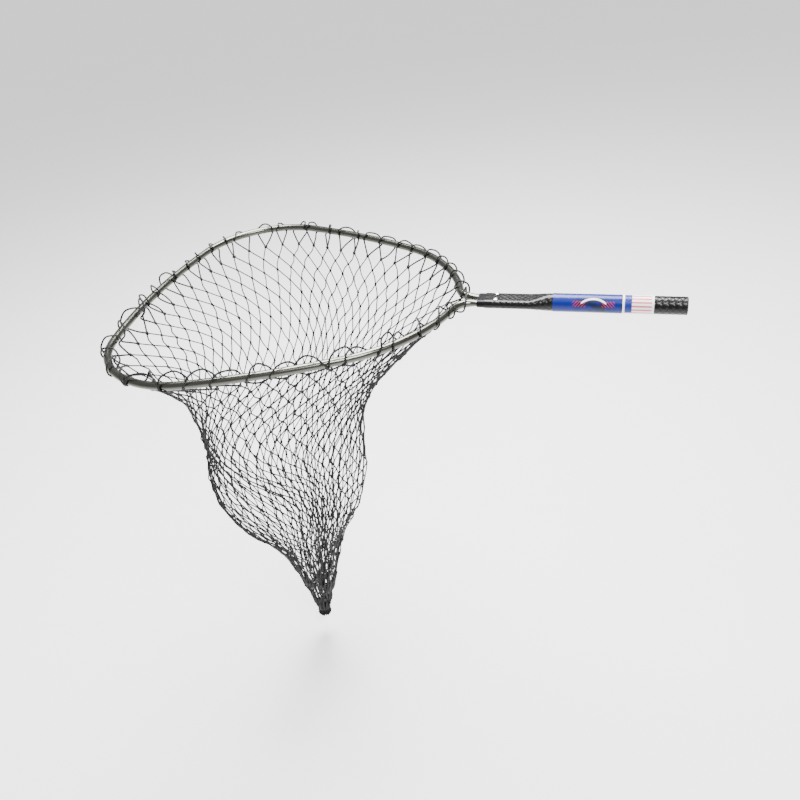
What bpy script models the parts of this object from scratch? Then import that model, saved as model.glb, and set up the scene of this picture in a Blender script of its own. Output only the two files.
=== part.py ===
"""Landing net: a bent tube hoop riveted into a flattened handle, with a netting bag.

All sizes below are millimetres. The origin is on the handle's axis, in the middle of its
round length. +X runs along the handle towards its butt, +Z is up out of the hoop's mouth,
and the bag hangs towards -Z.
"""

import math

import bpy

MM = 0.001

# Hoop: one round tube, bent flat in the XY plane, its two legs side by side in the handle.
HOOP_DIAMETER = 15.9
HOOP_WALL = 1.2
NECK_RADIUS, NECK_ANGLE = 40.0, 74.8
SHOULDER_RADIUS, SHOULDER_ANGLE = 322.0, 46.9
SIDE_RADIUS, SIDE_ANGLE = 1360.0, 12.2
CORNER_RADIUS, CORNER_ANGLE = 178.0, 96.0
FRONT_ANGLE = 90.0 + NECK_ANGLE - SHOULDER_ANGLE - SIDE_ANGLE - CORNER_ANGLE
LEG_STRAIGHT = 5.8
LEG_INSERTED = 75.0
LEG_HALF_SPACING = 11.6
LEG_HALF_WIDTH, LEG_HALF_HEIGHT = 8.2, 6.2
LEG_FLATTENS_OVER = 20.0

# Handle: a round tube, pressed flat over the legs at its front end.
HANDLE_LENGTH = 385.0
HANDLE_RADIUS = 16.0
HANDLE_WALL = 1.1
FLAT_HALF_WIDTH, FLAT_HALF_HEIGHT = 21.2, 7.6
FLAT_LENGTH = 96.0
ROUND_FROM = 144.0
GRIP_TO_FRONT = 265.0

GAP = 0.3
SLEEVE_START = 14.0
SLEEVE_THICKNESS = 0.8
SLEEVE_INNER = HANDLE_RADIUS + GAP
SLEEVE_OUTER = SLEEVE_INNER + SLEEVE_THICKNESS

# Labels lie on the sleeve.
LABEL_THICKNESS = 0.25
LABEL_INNER = SLEEVE_OUTER + GAP
WRAP_LABEL = (145.0, 270.5)
STRIPED_LABEL = (272.5, 328.5)
STRIPED_FROM_ANGLE, STRIPED_TO_ANGLE = 62.0, 228.0

# Blind rivets, one down through the handle's top wall into each leg.
RIVET_FROM_FRONT = 36.0
RIVET_SHANK = 2.4
RIVET_HEAD_RADIUS, RIVET_HEAD_HEIGHT = 4.8, 1.8
RIVET_BULB_RADIUS, RIVET_BULB_HEIGHT = 3.4, 2.2
MANDREL_RADIUS = 1.3
MANDREL_BALL_RADIUS, MANDREL_BALL_HEIGHT = 2.1, 1.8

# End cap: a plug with a flange over the tube's rear end.
CAP_FLANGE = 3.0
CAP_PLUG_LENGTH = 18.0
CAP_FLAT_RADIUS = 14.0

# Bag: netting hung from heavy twine loops round the hoop, and tied at its tail.
LOOP_BAND_THICKNESS = 3.0
LOOP_DROP = 32.0
BAG_WALL = 2.5
BAG_MESHES_ROUND = 48
MOUTH_INSET = 28.0
# Each level: depth below the hoop, centre from the front bar, centre to the side,
# half length along the handle's direction, half width across it.
BAG_LEVELS = (
    (100.0, 300.0, 0.0, 275.0, 310.0),
    (170.0, 290.0, -10.0, 221.0, 270.0),
    (250.0, 266.0, -22.0, 192.0, 228.0),
    (330.0, 262.0, -50.0, 184.0, 203.0),
    (400.0, 260.0, -75.0, 180.0, 185.0),
    (500.0, 248.0, -100.0, 178.0, 146.0),
    (580.0, 250.0, -86.0, 134.0, 88.0),
    (660.0, 255.0, -77.0, 90.0, 54.0),
    (760.0, 258.0, -68.0, 58.0, 40.0),
    (850.0, 254.0, -58.0, 34.0, 27.0),
    (900.0, 251.0, -53.0, 20.0, 18.5),
)
TAIL_X, TAIL_Y = 250.0, -50.0
TAIL_NECK_RADIUS, TAIL_END_RADIUS = 13.0, 15.5
TIE_DEPTH, TIE_HEIGHT, TIE_THICKNESS = 934.0, 8.0, 3.0
TAIL_END_DEPTH = 952.0

TUBE_SIDES = 12
HANDLE_SIDES = 24
RIVET_SIDES = 16
BEND_STEP_ANGLE = 8.0
BEND_STEP_LENGTH = 45.0

FRONT_EDGE_X = -GRIP_TO_FRONT


def arc_points(x, y, heading, radius, angle):
    """Stations (x, y, heading) along an arc from (x, y). A positive angle turns left."""
    length = radius * math.radians(abs(angle))
    steps = math.ceil(max(abs(angle) / BEND_STEP_ANGLE, length / BEND_STEP_LENGTH))
    side = math.copysign(1.0, angle)
    centre_x = x - side * radius * math.sin(heading)
    centre_y = y + side * radius * math.cos(heading)
    points = []
    for step in range(1, steps + 1):
        turned = heading + math.radians(angle) * step / steps
        points.append((
            centre_x + side * radius * math.sin(turned),
            centre_y - side * radius * math.cos(turned),
            turned,
        ))
    return points


def half_hoop():
    """Stations (x, y, heading) from a leg's end, round the +Y side, to the front bar's middle."""
    start = FRONT_EDGE_X - LEG_STRAIGHT
    stations = [
        (FRONT_EDGE_X + LEG_INSERTED, LEG_HALF_SPACING, math.pi),
        (FRONT_EDGE_X - 1.0, LEG_HALF_SPACING, math.pi),
        (start, LEG_HALF_SPACING, math.pi),
    ]
    bends = (
        (NECK_RADIUS, -NECK_ANGLE),
        (SHOULDER_RADIUS, SHOULDER_ANGLE),
        (SIDE_RADIUS, SIDE_ANGLE),
        (CORNER_RADIUS, CORNER_ANGLE),
    )
    for radius, angle in bends:
        stations += arc_points(*stations[-1], radius, angle)
    front_radius = stations[-1][1] / math.sin(math.radians(FRONT_ANGLE))
    return stations + arc_points(*stations[-1], front_radius, FRONT_ANGLE)


def mirrored(stations):
    """The -Y side's stations, from the front bar's middle back to the other leg's end."""
    return [(x, -y, math.pi - heading) for x, y, heading in reversed(stations[:-1])]


def front_bar_x():
    return half_hoop()[-1][0]


def mouth_outline():
    """The bag's mouth: the hoop's line without its neck, as one closed loop of even steps."""
    stations = half_hoop()
    neck_end = next(i for i, s in enumerate(stations) if i > 2 and s[2] < math.pi
                    and stations[i + 1][2] > s[2])
    x, y, heading = stations[neck_end]
    rest = 90.0 - math.degrees(heading)
    closing_radius = y / math.sin(math.radians(-rest))
    closing = arc_points(x, y, heading + math.pi, closing_radius, rest)
    half = [(px, py) for px, py, _ in reversed(closing)]
    half += [(px, py) for px, py, _ in stations[neck_end:]]
    loop = half + [(px, -py) for px, py in reversed(half[1:-1])]
    return even_steps(loop, BAG_MESHES_ROUND)


def even_steps(loop, count):
    """A closed loop walked again in equal steps."""
    ends = loop[1:] + loop[:1]
    lengths = [math.dist(a, b) for a, b in zip(loop, ends)]
    total = sum(lengths)
    points, walked, index = [], 0.0, 0
    for step in range(count):
        target = total * step / count
        while walked + lengths[index] < target:
            walked += lengths[index]
            index += 1
        share = (target - walked) / lengths[index]
        a, b = loop[index], ends[index]
        points.append((a[0] + share * (b[0] - a[0]), a[1] + share * (b[1] - a[1])))
    return points


def oval(half_width, half_height, sides):
    """A round or flattened section as (across, up) pairs, flat on top when it is wide."""
    straight = max(half_width - half_height, 0.0)
    radius_across = half_width - straight
    section = []
    for side in range(sides):
        angle = 2.0 * math.pi * (side + 0.5) / sides
        across = radius_across * math.cos(angle) + math.copysign(straight, math.cos(angle))
        section.append((across, half_height * math.sin(angle)))
    return section


def skin(name, rings, material, closed=False):
    """An object whose faces join each ring to the next, as a closed tube or with flat ends."""
    sides = len(rings[0])
    vertices = [(x * MM, y * MM, z * MM) for ring in rings for x, y, z in ring]
    faces = []
    spans = len(rings) if closed else len(rings) - 1
    for span in range(spans):
        here, there = span * sides, (span + 1) % len(rings) * sides
        for side in range(sides):
            after = (side + 1) % sides
            faces.append((here + side, here + after, there + after, there + side))
    if not closed:
        faces.append(tuple(range(sides))[::-1])
        faces.append(tuple(range((len(rings) - 1) * sides, len(rings) * sides)))
    mesh = bpy.data.meshes.new(name)
    mesh.from_pydata(vertices, [], faces)
    if signed_volume(mesh) < 0.0:
        mesh.flip_normals()
    mesh.shade_smooth()
    mesh.set_sharp_from_angle(angle=math.radians(35.0))
    mesh.materials.append(material)
    piece = bpy.data.objects.new(name, mesh)
    bpy.context.scene.collection.objects.link(piece)
    return piece


def signed_volume(mesh):
    """Positive when the mesh's faces point outwards."""
    total = 0.0
    for face in mesh.polygons:
        corners = [mesh.vertices[index].co for index in face.vertices]
        for second, third in zip(corners[1:], corners[2:]):
            total += corners[0].dot(second.cross(third))
    return total


def material(name, colour, roughness, metallic=0.0):
    made = bpy.data.materials.new(name)
    made.use_nodes = True
    shader = made.node_tree.nodes["Principled BSDF"]
    shader.inputs["Base Color"].default_value = (*colour, 1.0)
    shader.inputs["Roughness"].default_value = roughness
    shader.inputs["Metallic"].default_value = metallic
    return made


def leg_blend(x):
    """0 where the hoop's tube is round, 1 where it is pressed to fit in the handle."""
    into = (x - (FRONT_EDGE_X - 1.0 - LEG_FLATTENS_OVER)) / LEG_FLATTENS_OVER
    into = min(max(into, 0.0), 1.0)
    return into * into * (3.0 - 2.0 * into)


def hoop_ring(x, y, heading, wall):
    """The tube's section at a station, wall millimetres inside its outer face."""
    near_handle = leg_blend(x) if abs(y) < 4.0 * LEG_HALF_SPACING else 0.0
    radius = HOOP_DIAMETER / 2.0
    half_width = radius + near_handle * (LEG_HALF_WIDTH - radius) - wall
    half_height = radius + near_handle * (LEG_HALF_HEIGHT - radius) - wall
    ring = []
    for across, up in oval(half_width, half_height, TUBE_SIDES):
        ring.append((x - across * math.sin(heading), y + across * math.cos(heading), up))
    return ring


def make_hoop():
    stations = half_hoop()
    stations += mirrored(stations)
    outer = [hoop_ring(*station, 0.0) for station in stations]
    inner = [hoop_ring(*station, HOOP_WALL) for station in stations]
    finish = material("satin aluminium", (0.72, 0.72, 0.70), 0.32, 1.0)
    return skin("hoop", outer + inner[::-1], finish, closed=True)


def handle_section(along, grow):
    """The handle's half width and half height at a distance behind its front edge."""
    into = (along - FLAT_LENGTH) / (ROUND_FROM - FLAT_LENGTH)
    into = min(max(into, 0.0), 1.0)
    into = into * into * (3.0 - 2.0 * into)
    half_width = FLAT_HALF_WIDTH + into * (HANDLE_RADIUS - FLAT_HALF_WIDTH) + grow
    half_height = FLAT_HALF_HEIGHT + into * (HANDLE_RADIUS - FLAT_HALF_HEIGHT) + grow
    return half_width, half_height


def handle_rings(along_from, along_to, grow):
    """Rings of the handle's shape between two distances, offset outwards by grow."""
    turns = [FLAT_LENGTH + (ROUND_FROM - FLAT_LENGTH) * step / 6 for step in range(7)]
    inside = [along for along in turns if along_from < along < along_to]
    rings = []
    for along in [along_from, *inside, along_to]:
        section = oval(*handle_section(along, grow), HANDLE_SIDES)
        rings.append([(FRONT_EDGE_X + along, across, up) for across, up in section])
    return rings


def handle_shell(name, along_from, along_to, inner, outer, finish):
    """A shell that follows the handle, between two offsets from the tube's outer face."""
    rings = handle_rings(along_from, along_to, outer)
    rings += handle_rings(along_from, along_to, inner)[::-1]
    return skin(name, rings, finish, closed=True)


def make_handle():
    black = material("black anodised tube", (0.012, 0.012, 0.013), 0.3, 0.6)
    tube = handle_shell("handle_tube", 0.0, HANDLE_LENGTH, -HANDLE_WALL, 0.0, black)
    vinyl = material("black shrink sleeve", (0.008, 0.008, 0.009), 0.22)
    sleeve = handle_shell("grip_sleeve", SLEEVE_START, HANDLE_LENGTH, GAP,
                          GAP + SLEEVE_THICKNESS, vinyl)
    return tube, sleeve


def make_wrap_label():
    on_sleeve = LABEL_INNER - HANDLE_RADIUS
    blue = material("blue printed film", (0.01, 0.13, 0.75), 0.18)
    return handle_shell("wrap_label", *WRAP_LABEL, on_sleeve, on_sleeve + LABEL_THICKNESS, blue)


def make_striped_label():
    """A patch of film bent round the upper and facing side of the sleeve."""
    steps = 14
    angles = [
        math.radians(STRIPED_FROM_ANGLE + (STRIPED_TO_ANGLE - STRIPED_FROM_ANGLE) * step / steps)
        for step in range(steps + 1)
    ]
    section = [(LABEL_INNER, angle) for angle in angles]
    section += [(LABEL_INNER + LABEL_THICKNESS, angle) for angle in reversed(angles)]
    rings = []
    for along in STRIPED_LABEL:
        x = FRONT_EDGE_X + along
        rings.append([(x, r * math.cos(a), r * math.sin(a)) for r, a in section])
    white = material("white printed film", (0.85, 0.83, 0.85), 0.2)
    return skin("striped_label", rings, white)


def turned_rings(profile, centre_x, centre_y, sides):
    """Level rings about an upright axis, one for each (radius, height) of the profile."""
    rings = []
    for radius, height in profile:
        section = oval(radius, radius, sides)
        rings.append([(centre_x + dx, centre_y + dy, height) for dx, dy in section])
    return rings


def rivet_seat():
    """The height of the sleeve's top face, which a rivet's head stands just clear of."""
    return FLAT_HALF_HEIGHT + GAP + SLEEVE_THICKNESS + GAP


def make_rivet(side_name, y, finish, steel):
    x = FRONT_EDGE_X + RIVET_FROM_FRONT
    seat = rivet_seat()
    top = seat + RIVET_HEAD_HEIGHT
    bore = MANDREL_RADIUS + GAP
    leg_roof = LEG_HALF_HEIGHT - HOOP_WALL - GAP
    bulb_end = leg_roof - RIVET_BULB_HEIGHT
    profile = (
        (bore, top), (RIVET_HEAD_RADIUS * 0.6, top - 0.1),
        (RIVET_HEAD_RADIUS * 0.9, top - 0.7), (RIVET_HEAD_RADIUS, seat + 0.3),
        (RIVET_HEAD_RADIUS, seat), (RIVET_SHANK, seat), (RIVET_SHANK, leg_roof),
        (RIVET_BULB_RADIUS, leg_roof - 0.6), (RIVET_BULB_RADIUS, bulb_end + 0.6),
        (RIVET_SHANK, bulb_end), (bore, bulb_end),
    )
    skin(f"rivet_{side_name}", turned_rings(profile, x, y, RIVET_SIDES), finish, closed=True)
    ball_top = bulb_end - GAP
    ball_end = ball_top - MANDREL_BALL_HEIGHT
    stem = (
        (MANDREL_RADIUS, top - 0.5), (MANDREL_RADIUS, ball_top),
        (MANDREL_BALL_RADIUS, ball_top - 0.3),
        (MANDREL_BALL_RADIUS, ball_end + 0.6), (MANDREL_RADIUS * 0.8, ball_end),
    )
    skin(f"rivet_mandrel_{side_name}", turned_rings(stem, x, y, RIVET_SIDES), steel)


def drill(pieces):
    """Holes for the rivets' shanks in the handle's top wall, the sleeve and the legs."""
    bottom = LEG_HALF_HEIGHT - HOOP_WALL - 2.0
    top = rivet_seat() + 2.0
    radius = RIVET_SHANK + GAP
    grey = material("drill guide", (0.5, 0.5, 0.5), 0.5)
    for side_name, y in (("near", -LEG_HALF_SPACING), ("far", LEG_HALF_SPACING)):
        rings = turned_rings(((radius, bottom), (radius, top)),
                             FRONT_EDGE_X + RIVET_FROM_FRONT, y, RIVET_SIDES)
        cutter = skin(f"drill_{side_name}", rings, grey)
        cutter.hide_render = True
        cutter.display_type = "WIRE"
        for piece in pieces:
            cut = piece.modifiers.new(f"hole_{side_name}", "BOOLEAN")
            cut.operation = "DIFFERENCE"
            cut.solver = "EXACT"
            cut.object = cutter


def make_end_cap():
    rear = FRONT_EDGE_X + HANDLE_LENGTH
    plug = HANDLE_RADIUS - HANDLE_WALL - GAP
    profile = (
        (plug - 1.5, rear - CAP_PLUG_LENGTH), (plug, rear - CAP_PLUG_LENGTH + 2.0),
        (plug, rear + GAP), (SLEEVE_OUTER - 0.4, rear + GAP), (SLEEVE_OUTER, rear + 0.8),
        (SLEEVE_OUTER - 0.6, rear + CAP_FLANGE - 1.0), (CAP_FLAT_RADIUS, rear + CAP_FLANGE),
    )
    rings = []
    for radius, x in profile:
        section = oval(radius, radius, HANDLE_SIDES)
        rings.append([(x, across, up) for across, up in section])
    return skin("end_cap", rings, material("black vinyl", (0.01, 0.01, 0.01), 0.5))


def scaled_outline(inset, depth):
    """The mouth's outline moved inwards by inset, at a depth below the hoop."""
    outline = mouth_outline()
    centre_x = sum(x for x, _ in outline) / len(outline)
    ring = []
    for x, y in outline:
        reach = math.hypot(x - centre_x, y)
        share = (reach - inset) / reach
        ring.append((centre_x + (x - centre_x) * share, y * share, -depth))
    return ring


def make_loop_band():
    """The band that the heavy hanging loops fill, from the hoop's tube down to the netting."""
    top = HOOP_DIAMETER / 2.0 + GAP
    outer = [scaled_outline(0.0, top), scaled_outline(MOUTH_INSET, LOOP_DROP)]
    inner = [scaled_outline(LOOP_BAND_THICKNESS, top),
             scaled_outline(MOUTH_INSET + LOOP_BAND_THICKNESS, LOOP_DROP)]
    twine = material("heavy black twine", (0.02, 0.02, 0.02), 0.7)
    return skin("rim_loops", outer + inner[::-1], twine, closed=True)


def bag_ring(level, wall):
    """An oval level of the bag, its points in the order of the mouth's."""
    depth, from_bar, centre_y, half_length, half_width = level
    centre_x = front_bar_x() + from_bar
    ring = []
    for mesh in range(BAG_MESHES_ROUND):
        angle = 2.0 * math.pi * mesh / BAG_MESHES_ROUND
        ring.append((
            centre_x + (half_length - wall) * math.cos(angle),
            centre_y + (half_width - wall) * math.sin(angle),
            -depth,
        ))
    return ring


def make_bag():
    """A thin funnel under the hoop, open at its mouth and closed at its tail."""
    tie_top, tie_end = TIE_DEPTH - TIE_HEIGHT / 2.0, TIE_DEPTH + TIE_HEIGHT / 2.0
    tail = (
        (tie_top - 3.0, TAIL_X, TAIL_Y, TAIL_NECK_RADIUS + 2.0, TAIL_NECK_RADIUS + 2.0),
        (tie_top, TAIL_X, TAIL_Y, TAIL_NECK_RADIUS, TAIL_NECK_RADIUS),
        (tie_end, TAIL_X, TAIL_Y, TAIL_NECK_RADIUS, TAIL_NECK_RADIUS),
        (tie_end + 4.0, TAIL_X, TAIL_Y, TAIL_END_RADIUS, TAIL_END_RADIUS),
        (TAIL_END_DEPTH - 4.0, TAIL_X, TAIL_Y, TAIL_END_RADIUS, TAIL_END_RADIUS),
        (TAIL_END_DEPTH, TAIL_X, TAIL_Y, TAIL_NECK_RADIUS, TAIL_NECK_RADIUS),
    )
    mouth_depth = LOOP_DROP + GAP
    outer = [scaled_outline(MOUTH_INSET, mouth_depth)]
    outer += [bag_ring(level, 0.0) for level in (*BAG_LEVELS, *tail)]
    inner = [scaled_outline(MOUTH_INSET + BAG_WALL, mouth_depth)]
    inner += [bag_ring(level, BAG_WALL) for level in BAG_LEVELS]
    netting = material("black netting twine", (0.015, 0.015, 0.016), 0.65)
    return skin("net_bag", inner[::-1] + outer, netting)


def make_tail_tie():
    """Twine wound round the gathered tail."""
    inner = TAIL_NECK_RADIUS + GAP
    outer = inner + TIE_THICKNESS
    top, end = -TIE_DEPTH + TIE_HEIGHT / 2.0 - GAP, -TIE_DEPTH - TIE_HEIGHT / 2.0 + GAP
    profile = ((inner, top), (outer - 0.8, top), (outer, top - 1.0),
               (outer, end + 1.0), (outer - 0.8, end), (inner, end))
    rings = turned_rings(profile, front_bar_x() + TAIL_X, TAIL_Y, RIVET_SIDES)
    return skin("tail_tie", rings, material("tie twine", (0.02, 0.02, 0.02), 0.7), closed=True)


def clear_scene():
    for piece in list(bpy.data.objects):
        bpy.data.objects.remove(piece, do_unlink=True)


def main():
    clear_scene()
    hoop = make_hoop()
    tube, sleeve = make_handle()
    drill((hoop, tube, sleeve))
    rivet_metal = material("rivet aluminium", (0.78, 0.78, 0.77), 0.3, 1.0)
    steel = material("mandrel steel", (0.35, 0.35, 0.36), 0.4, 1.0)
    make_rivet("near", -LEG_HALF_SPACING, rivet_metal, steel)
    make_rivet("far", LEG_HALF_SPACING, rivet_metal, steel)
    make_wrap_label()
    make_striped_label()
    make_end_cap()
    make_loop_band()
    make_bag()
    make_tail_tie()


main()
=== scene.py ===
"""Looks of a landing net: a drawn tube hoop, a sleeved handle and a knotted netting bag.

Sizes are millimetres and are turned to metres where a mesh is made. The origin is on the
handle's axis, +X runs to the butt, +Z is up out of the mouth, and the bag hangs to -Z.
"""

from __future__ import annotations

import logging
import math
from dataclasses import dataclass, field
from enum import Enum

import bpy
import numpy as np
from mathutils import Matrix, Quaternion, Vector


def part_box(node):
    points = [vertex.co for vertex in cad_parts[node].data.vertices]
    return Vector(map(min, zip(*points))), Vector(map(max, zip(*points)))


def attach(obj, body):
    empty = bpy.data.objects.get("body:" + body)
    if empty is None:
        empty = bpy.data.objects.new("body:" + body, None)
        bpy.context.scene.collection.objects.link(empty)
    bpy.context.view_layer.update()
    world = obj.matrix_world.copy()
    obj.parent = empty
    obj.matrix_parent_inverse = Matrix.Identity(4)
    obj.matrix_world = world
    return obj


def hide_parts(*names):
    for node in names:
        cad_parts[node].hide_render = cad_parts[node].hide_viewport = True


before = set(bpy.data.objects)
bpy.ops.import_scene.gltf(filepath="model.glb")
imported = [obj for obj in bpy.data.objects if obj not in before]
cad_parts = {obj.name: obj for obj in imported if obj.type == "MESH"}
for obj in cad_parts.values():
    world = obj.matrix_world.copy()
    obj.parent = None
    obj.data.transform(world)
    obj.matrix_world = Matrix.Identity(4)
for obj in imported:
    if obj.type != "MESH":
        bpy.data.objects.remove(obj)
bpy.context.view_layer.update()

MM = 0.001
STRAND_UV = "strand_uv"
log = logging.getLogger("landing_net")
Socket = bpy.types.NodeSocket
GRAVITY = 9810.0


# ---------------------------------------------------------------------------
# Small helpers
# ---------------------------------------------------------------------------

def linear(hex_colour: str) -> tuple[float, ...]:
    """Turn an sRGB hex colour such as "#1a2b3c" into linear red, green, blue and alpha."""
    channels = [int(hex_colour[start:start + 2], 16) / 255.0 for start in (1, 3, 5)]
    turned = [c / 12.92 if c <= 0.04045 else ((c + 0.055) / 1.055) ** 2.4 for c in channels]
    return (*turned, 1.0)


def add_node(tree: bpy.types.NodeTree, kind: str, settings: dict | None = None,
             inputs: dict | None = None) -> bpy.types.Node:
    """Add a node to a node tree.

    Args:
        tree: The shader or geometry tree.
        kind: The node's type name.
        settings: Properties to set on the node.
        inputs: Socket name or index to a constant, or to the output socket that feeds it.

    Returns:
        The new node.
    """
    node = tree.nodes.new(kind)
    for name, value in (settings or {}).items():
        setattr(node, name, value)
    for key, value in (inputs or {}).items():
        socket = node.inputs[key]
        if isinstance(value, bpy.types.NodeSocket):
            tree.links.new(value, socket)
        else:
            socket.default_value = value
    return node


def smoothstep(value: float | np.ndarray) -> float | np.ndarray:
    """The smooth 0 to 1 ramp of a value that is clipped to that range."""
    clipped = np.clip(value, 0.0, 1.0)
    return clipped * clipped * (3.0 - 2.0 * clipped)


def mesh_piece(name: str, vertices: np.ndarray, edges: list,
               faces: list) -> bpy.types.Object:
    """Make an object at the origin from vertices in millimetres.

    Args:
        name: The object's name.
        vertices: An (n, 3) array in millimetres.
        edges: Vertex index pairs, for a mesh without faces.
        faces: Vertex index tuples.

    Returns:
        The linked object.
    """
    mesh = bpy.data.meshes.new(name)
    mesh.from_pydata((np.asarray(vertices, float) * MM).tolist(), edges, faces)
    mesh.update()
    piece = bpy.data.objects.new(name, mesh)
    bpy.context.scene.collection.objects.link(piece)
    return piece


def chains_piece(name: str, chains: list[np.ndarray], closed: bool = False) -> bpy.types.Object:
    """Make an edge-only object that holds each chain of points as its own line."""
    vertices = np.vstack(chains)
    edges, start = [], 0
    for chain in chains:
        count = len(chain)
        edges += [(start + k, start + k + 1) for k in range(count - 1)]
        if closed:
            edges.append((start + count - 1, start))
        start += count
    return mesh_piece(name, vertices, edges, [])


def smooth_chain(points: np.ndarray, steps: int) -> np.ndarray:
    """Pass a Catmull-Rom curve through points.

    Args:
        points: An (n, 3) array.
        steps: Segments between two neighbouring points.

    Returns:
        The finer chain, which still holds every given point.
    """
    padded = np.vstack([2 * points[0] - points[1], points, 2 * points[-1] - points[-2]])
    before, start, end, after = padded[:-3], padded[1:-2], padded[2:-1], padded[3:]
    rows = []
    for step in range(steps):
        t = step / steps
        rows.append(0.5 * (2 * start + (end - before) * t
                           + (2 * before - 5 * start + 4 * end - after) * t ** 2
                           + (3 * start - before - 3 * end + after) * t ** 3))
    fine = np.stack(rows, axis=1).reshape(-1, 3)
    return np.vstack([fine, points[-1:]])


def finish_piece(piece: bpy.types.Object, material: bpy.types.Material, slot: str,
                 *nodes: str) -> None:
    """Dress a finished piece, parent it to the root body's empty and hide the CAD nodes it stands
    for.

    Args:
        piece: The object, at the origin.
        material: Its only material.
        slot: The material slot's name; it is not used.
        nodes: The CAD nodes that the piece stands for.
    """
    piece.data.materials.clear()
    piece.data.materials.append(material)
    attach(piece, "root")
    if nodes:
        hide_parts(*nodes)
    log.info("%s: %d faces", piece.name, len(piece.data.polygons))


# ---------------------------------------------------------------------------
# Lofted shells
# ---------------------------------------------------------------------------

def loft(name: str, rings: list[np.ndarray], closed: bool,
         sharp: float = 35.0) -> bpy.types.Object:
    """Join rings of points into one shell with a UV map of real millimetres.

    Args:
        name: The object's name.
        rings: Arrays of the same number of points each, in millimetres.
        closed: True joins the last ring to the first. False closes both ends with flat faces.
        sharp: The angle in degrees past which an edge is shaded sharp.

    Returns:
        The object. U follows the rings and V goes round them.
    """
    sides = len(rings[0])
    count = len(rings)
    faces = []
    for span in range(count if closed else count - 1):
        here, there = span * sides, (span + 1) % count * sides
        for side in range(sides):
            after = (side + 1) % sides
            faces.append((here + side, here + after, there + after, there + side))
    if not closed:
        faces.append(tuple(range(sides))[::-1])
        faces.append(tuple(range((count - 1) * sides, count * sides)))
    stacked = np.vstack(rings)
    piece = mesh_piece(name, stacked, [], faces)
    mesh = piece.data
    middles = np.array([ring.mean(axis=0) for ring in rings])
    along = np.concatenate([[0.0], np.cumsum(np.linalg.norm(np.diff(middles, axis=0), axis=1))])
    layer = mesh.uv_layers.new(name=STRAND_UV)
    for face in mesh.polygons:
        columns = [index % sides for index in face.vertices]
        wraps = max(columns) - min(columns) > sides // 2
        for loop, index, column in zip(face.loop_indices, face.vertices, columns):
            turn = column + (sides if wraps and column == 0 else 0)
            layer.data[loop].uv = (along[index // sides] * MM, turn / sides)
    if signed_volume(mesh) < 0.0:
        mesh.flip_normals()
    mesh.shade_smooth()
    mesh.set_sharp_from_angle(angle=math.radians(sharp))
    return piece


def signed_volume(mesh: bpy.types.Mesh) -> float:
    """Six times the mesh's volume, positive when its faces point outwards."""
    mesh.calc_loop_triangles()
    places = np.empty(len(mesh.vertices) * 3)
    mesh.vertices.foreach_get("co", places)
    corners = np.empty(len(mesh.loop_triangles) * 3, dtype=int)
    mesh.loop_triangles.foreach_get("vertices", corners)
    a, b, c = places.reshape(-1, 3)[corners.reshape(-1, 3)].transpose(1, 0, 2)
    return float(np.einsum("ij,ij->i", a, np.cross(b, c)).sum())


def oval(half_width: float, half_height: float, sides: int) -> np.ndarray:
    """A round or flat-topped section as (across, up) pairs, as the CAD's sections are."""
    straight = max(half_width - half_height, 0.0)
    angles = 2.0 * math.pi * (np.arange(sides) + 0.5) / sides
    across = (half_width - straight) * np.cos(angles) + np.copysign(straight, np.cos(angles))
    return np.column_stack([across, half_height * np.sin(angles)])


def even_oval(half_width: float, half_height: float, sides: int) -> tuple:
    """The same section walked in even steps, so that its flat faces have points too.

    Args:
        half_width: Half the section's width.
        half_height: Half its height.
        sides: The number of points.

    Returns:
        The (across, up) points and the unit outward direction at each.
    """
    fine = oval(half_width, half_height, 4 * sides)
    closed = np.vstack([fine, fine[:1]])
    walked = np.concatenate([[0.0], np.cumsum(np.hypot(*np.diff(closed, axis=0).T))])
    at = np.arange(sides) / sides * walked[-1]
    points = np.column_stack([np.interp(at, walked, closed[:, k]) for k in (0, 1)])
    tangent = np.roll(points, -1, axis=0) - np.roll(points, 1, axis=0)
    outward = np.column_stack([tangent[:, 1], -tangent[:, 0]])
    return points, outward / np.linalg.norm(outward, axis=1)[:, None]


def lathe(name: str, profile: tuple, axis: str, centre: tuple[float, float],
          sides: int) -> bpy.types.Object:
    """Turn a closed (radius, height) profile about an axis parallel to X or Z.

    Args:
        name: The object's name.
        profile: Pairs of radius and position along the axis. A radius is never zero.
        axis: "X" or "Z".
        centre: The axis's other two coordinates.
        sides: The number of steps round.

    Returns:
        The object, with both ends closed by a flat face.
    """
    angles = 2.0 * math.pi * (np.arange(sides) + 0.5) / sides
    rings = []
    for radius, height in profile:
        first = centre[0] + radius * np.cos(angles)
        second = centre[1] + radius * np.sin(angles)
        level = np.full(sides, height)
        columns = [level, first, second] if axis == "X" else [first, second, level]
        rings.append(np.column_stack(columns))
    return loft(name, rings, closed=False, sharp=50.0)


# ---------------------------------------------------------------------------
# Geometry Nodes
# ---------------------------------------------------------------------------

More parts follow.
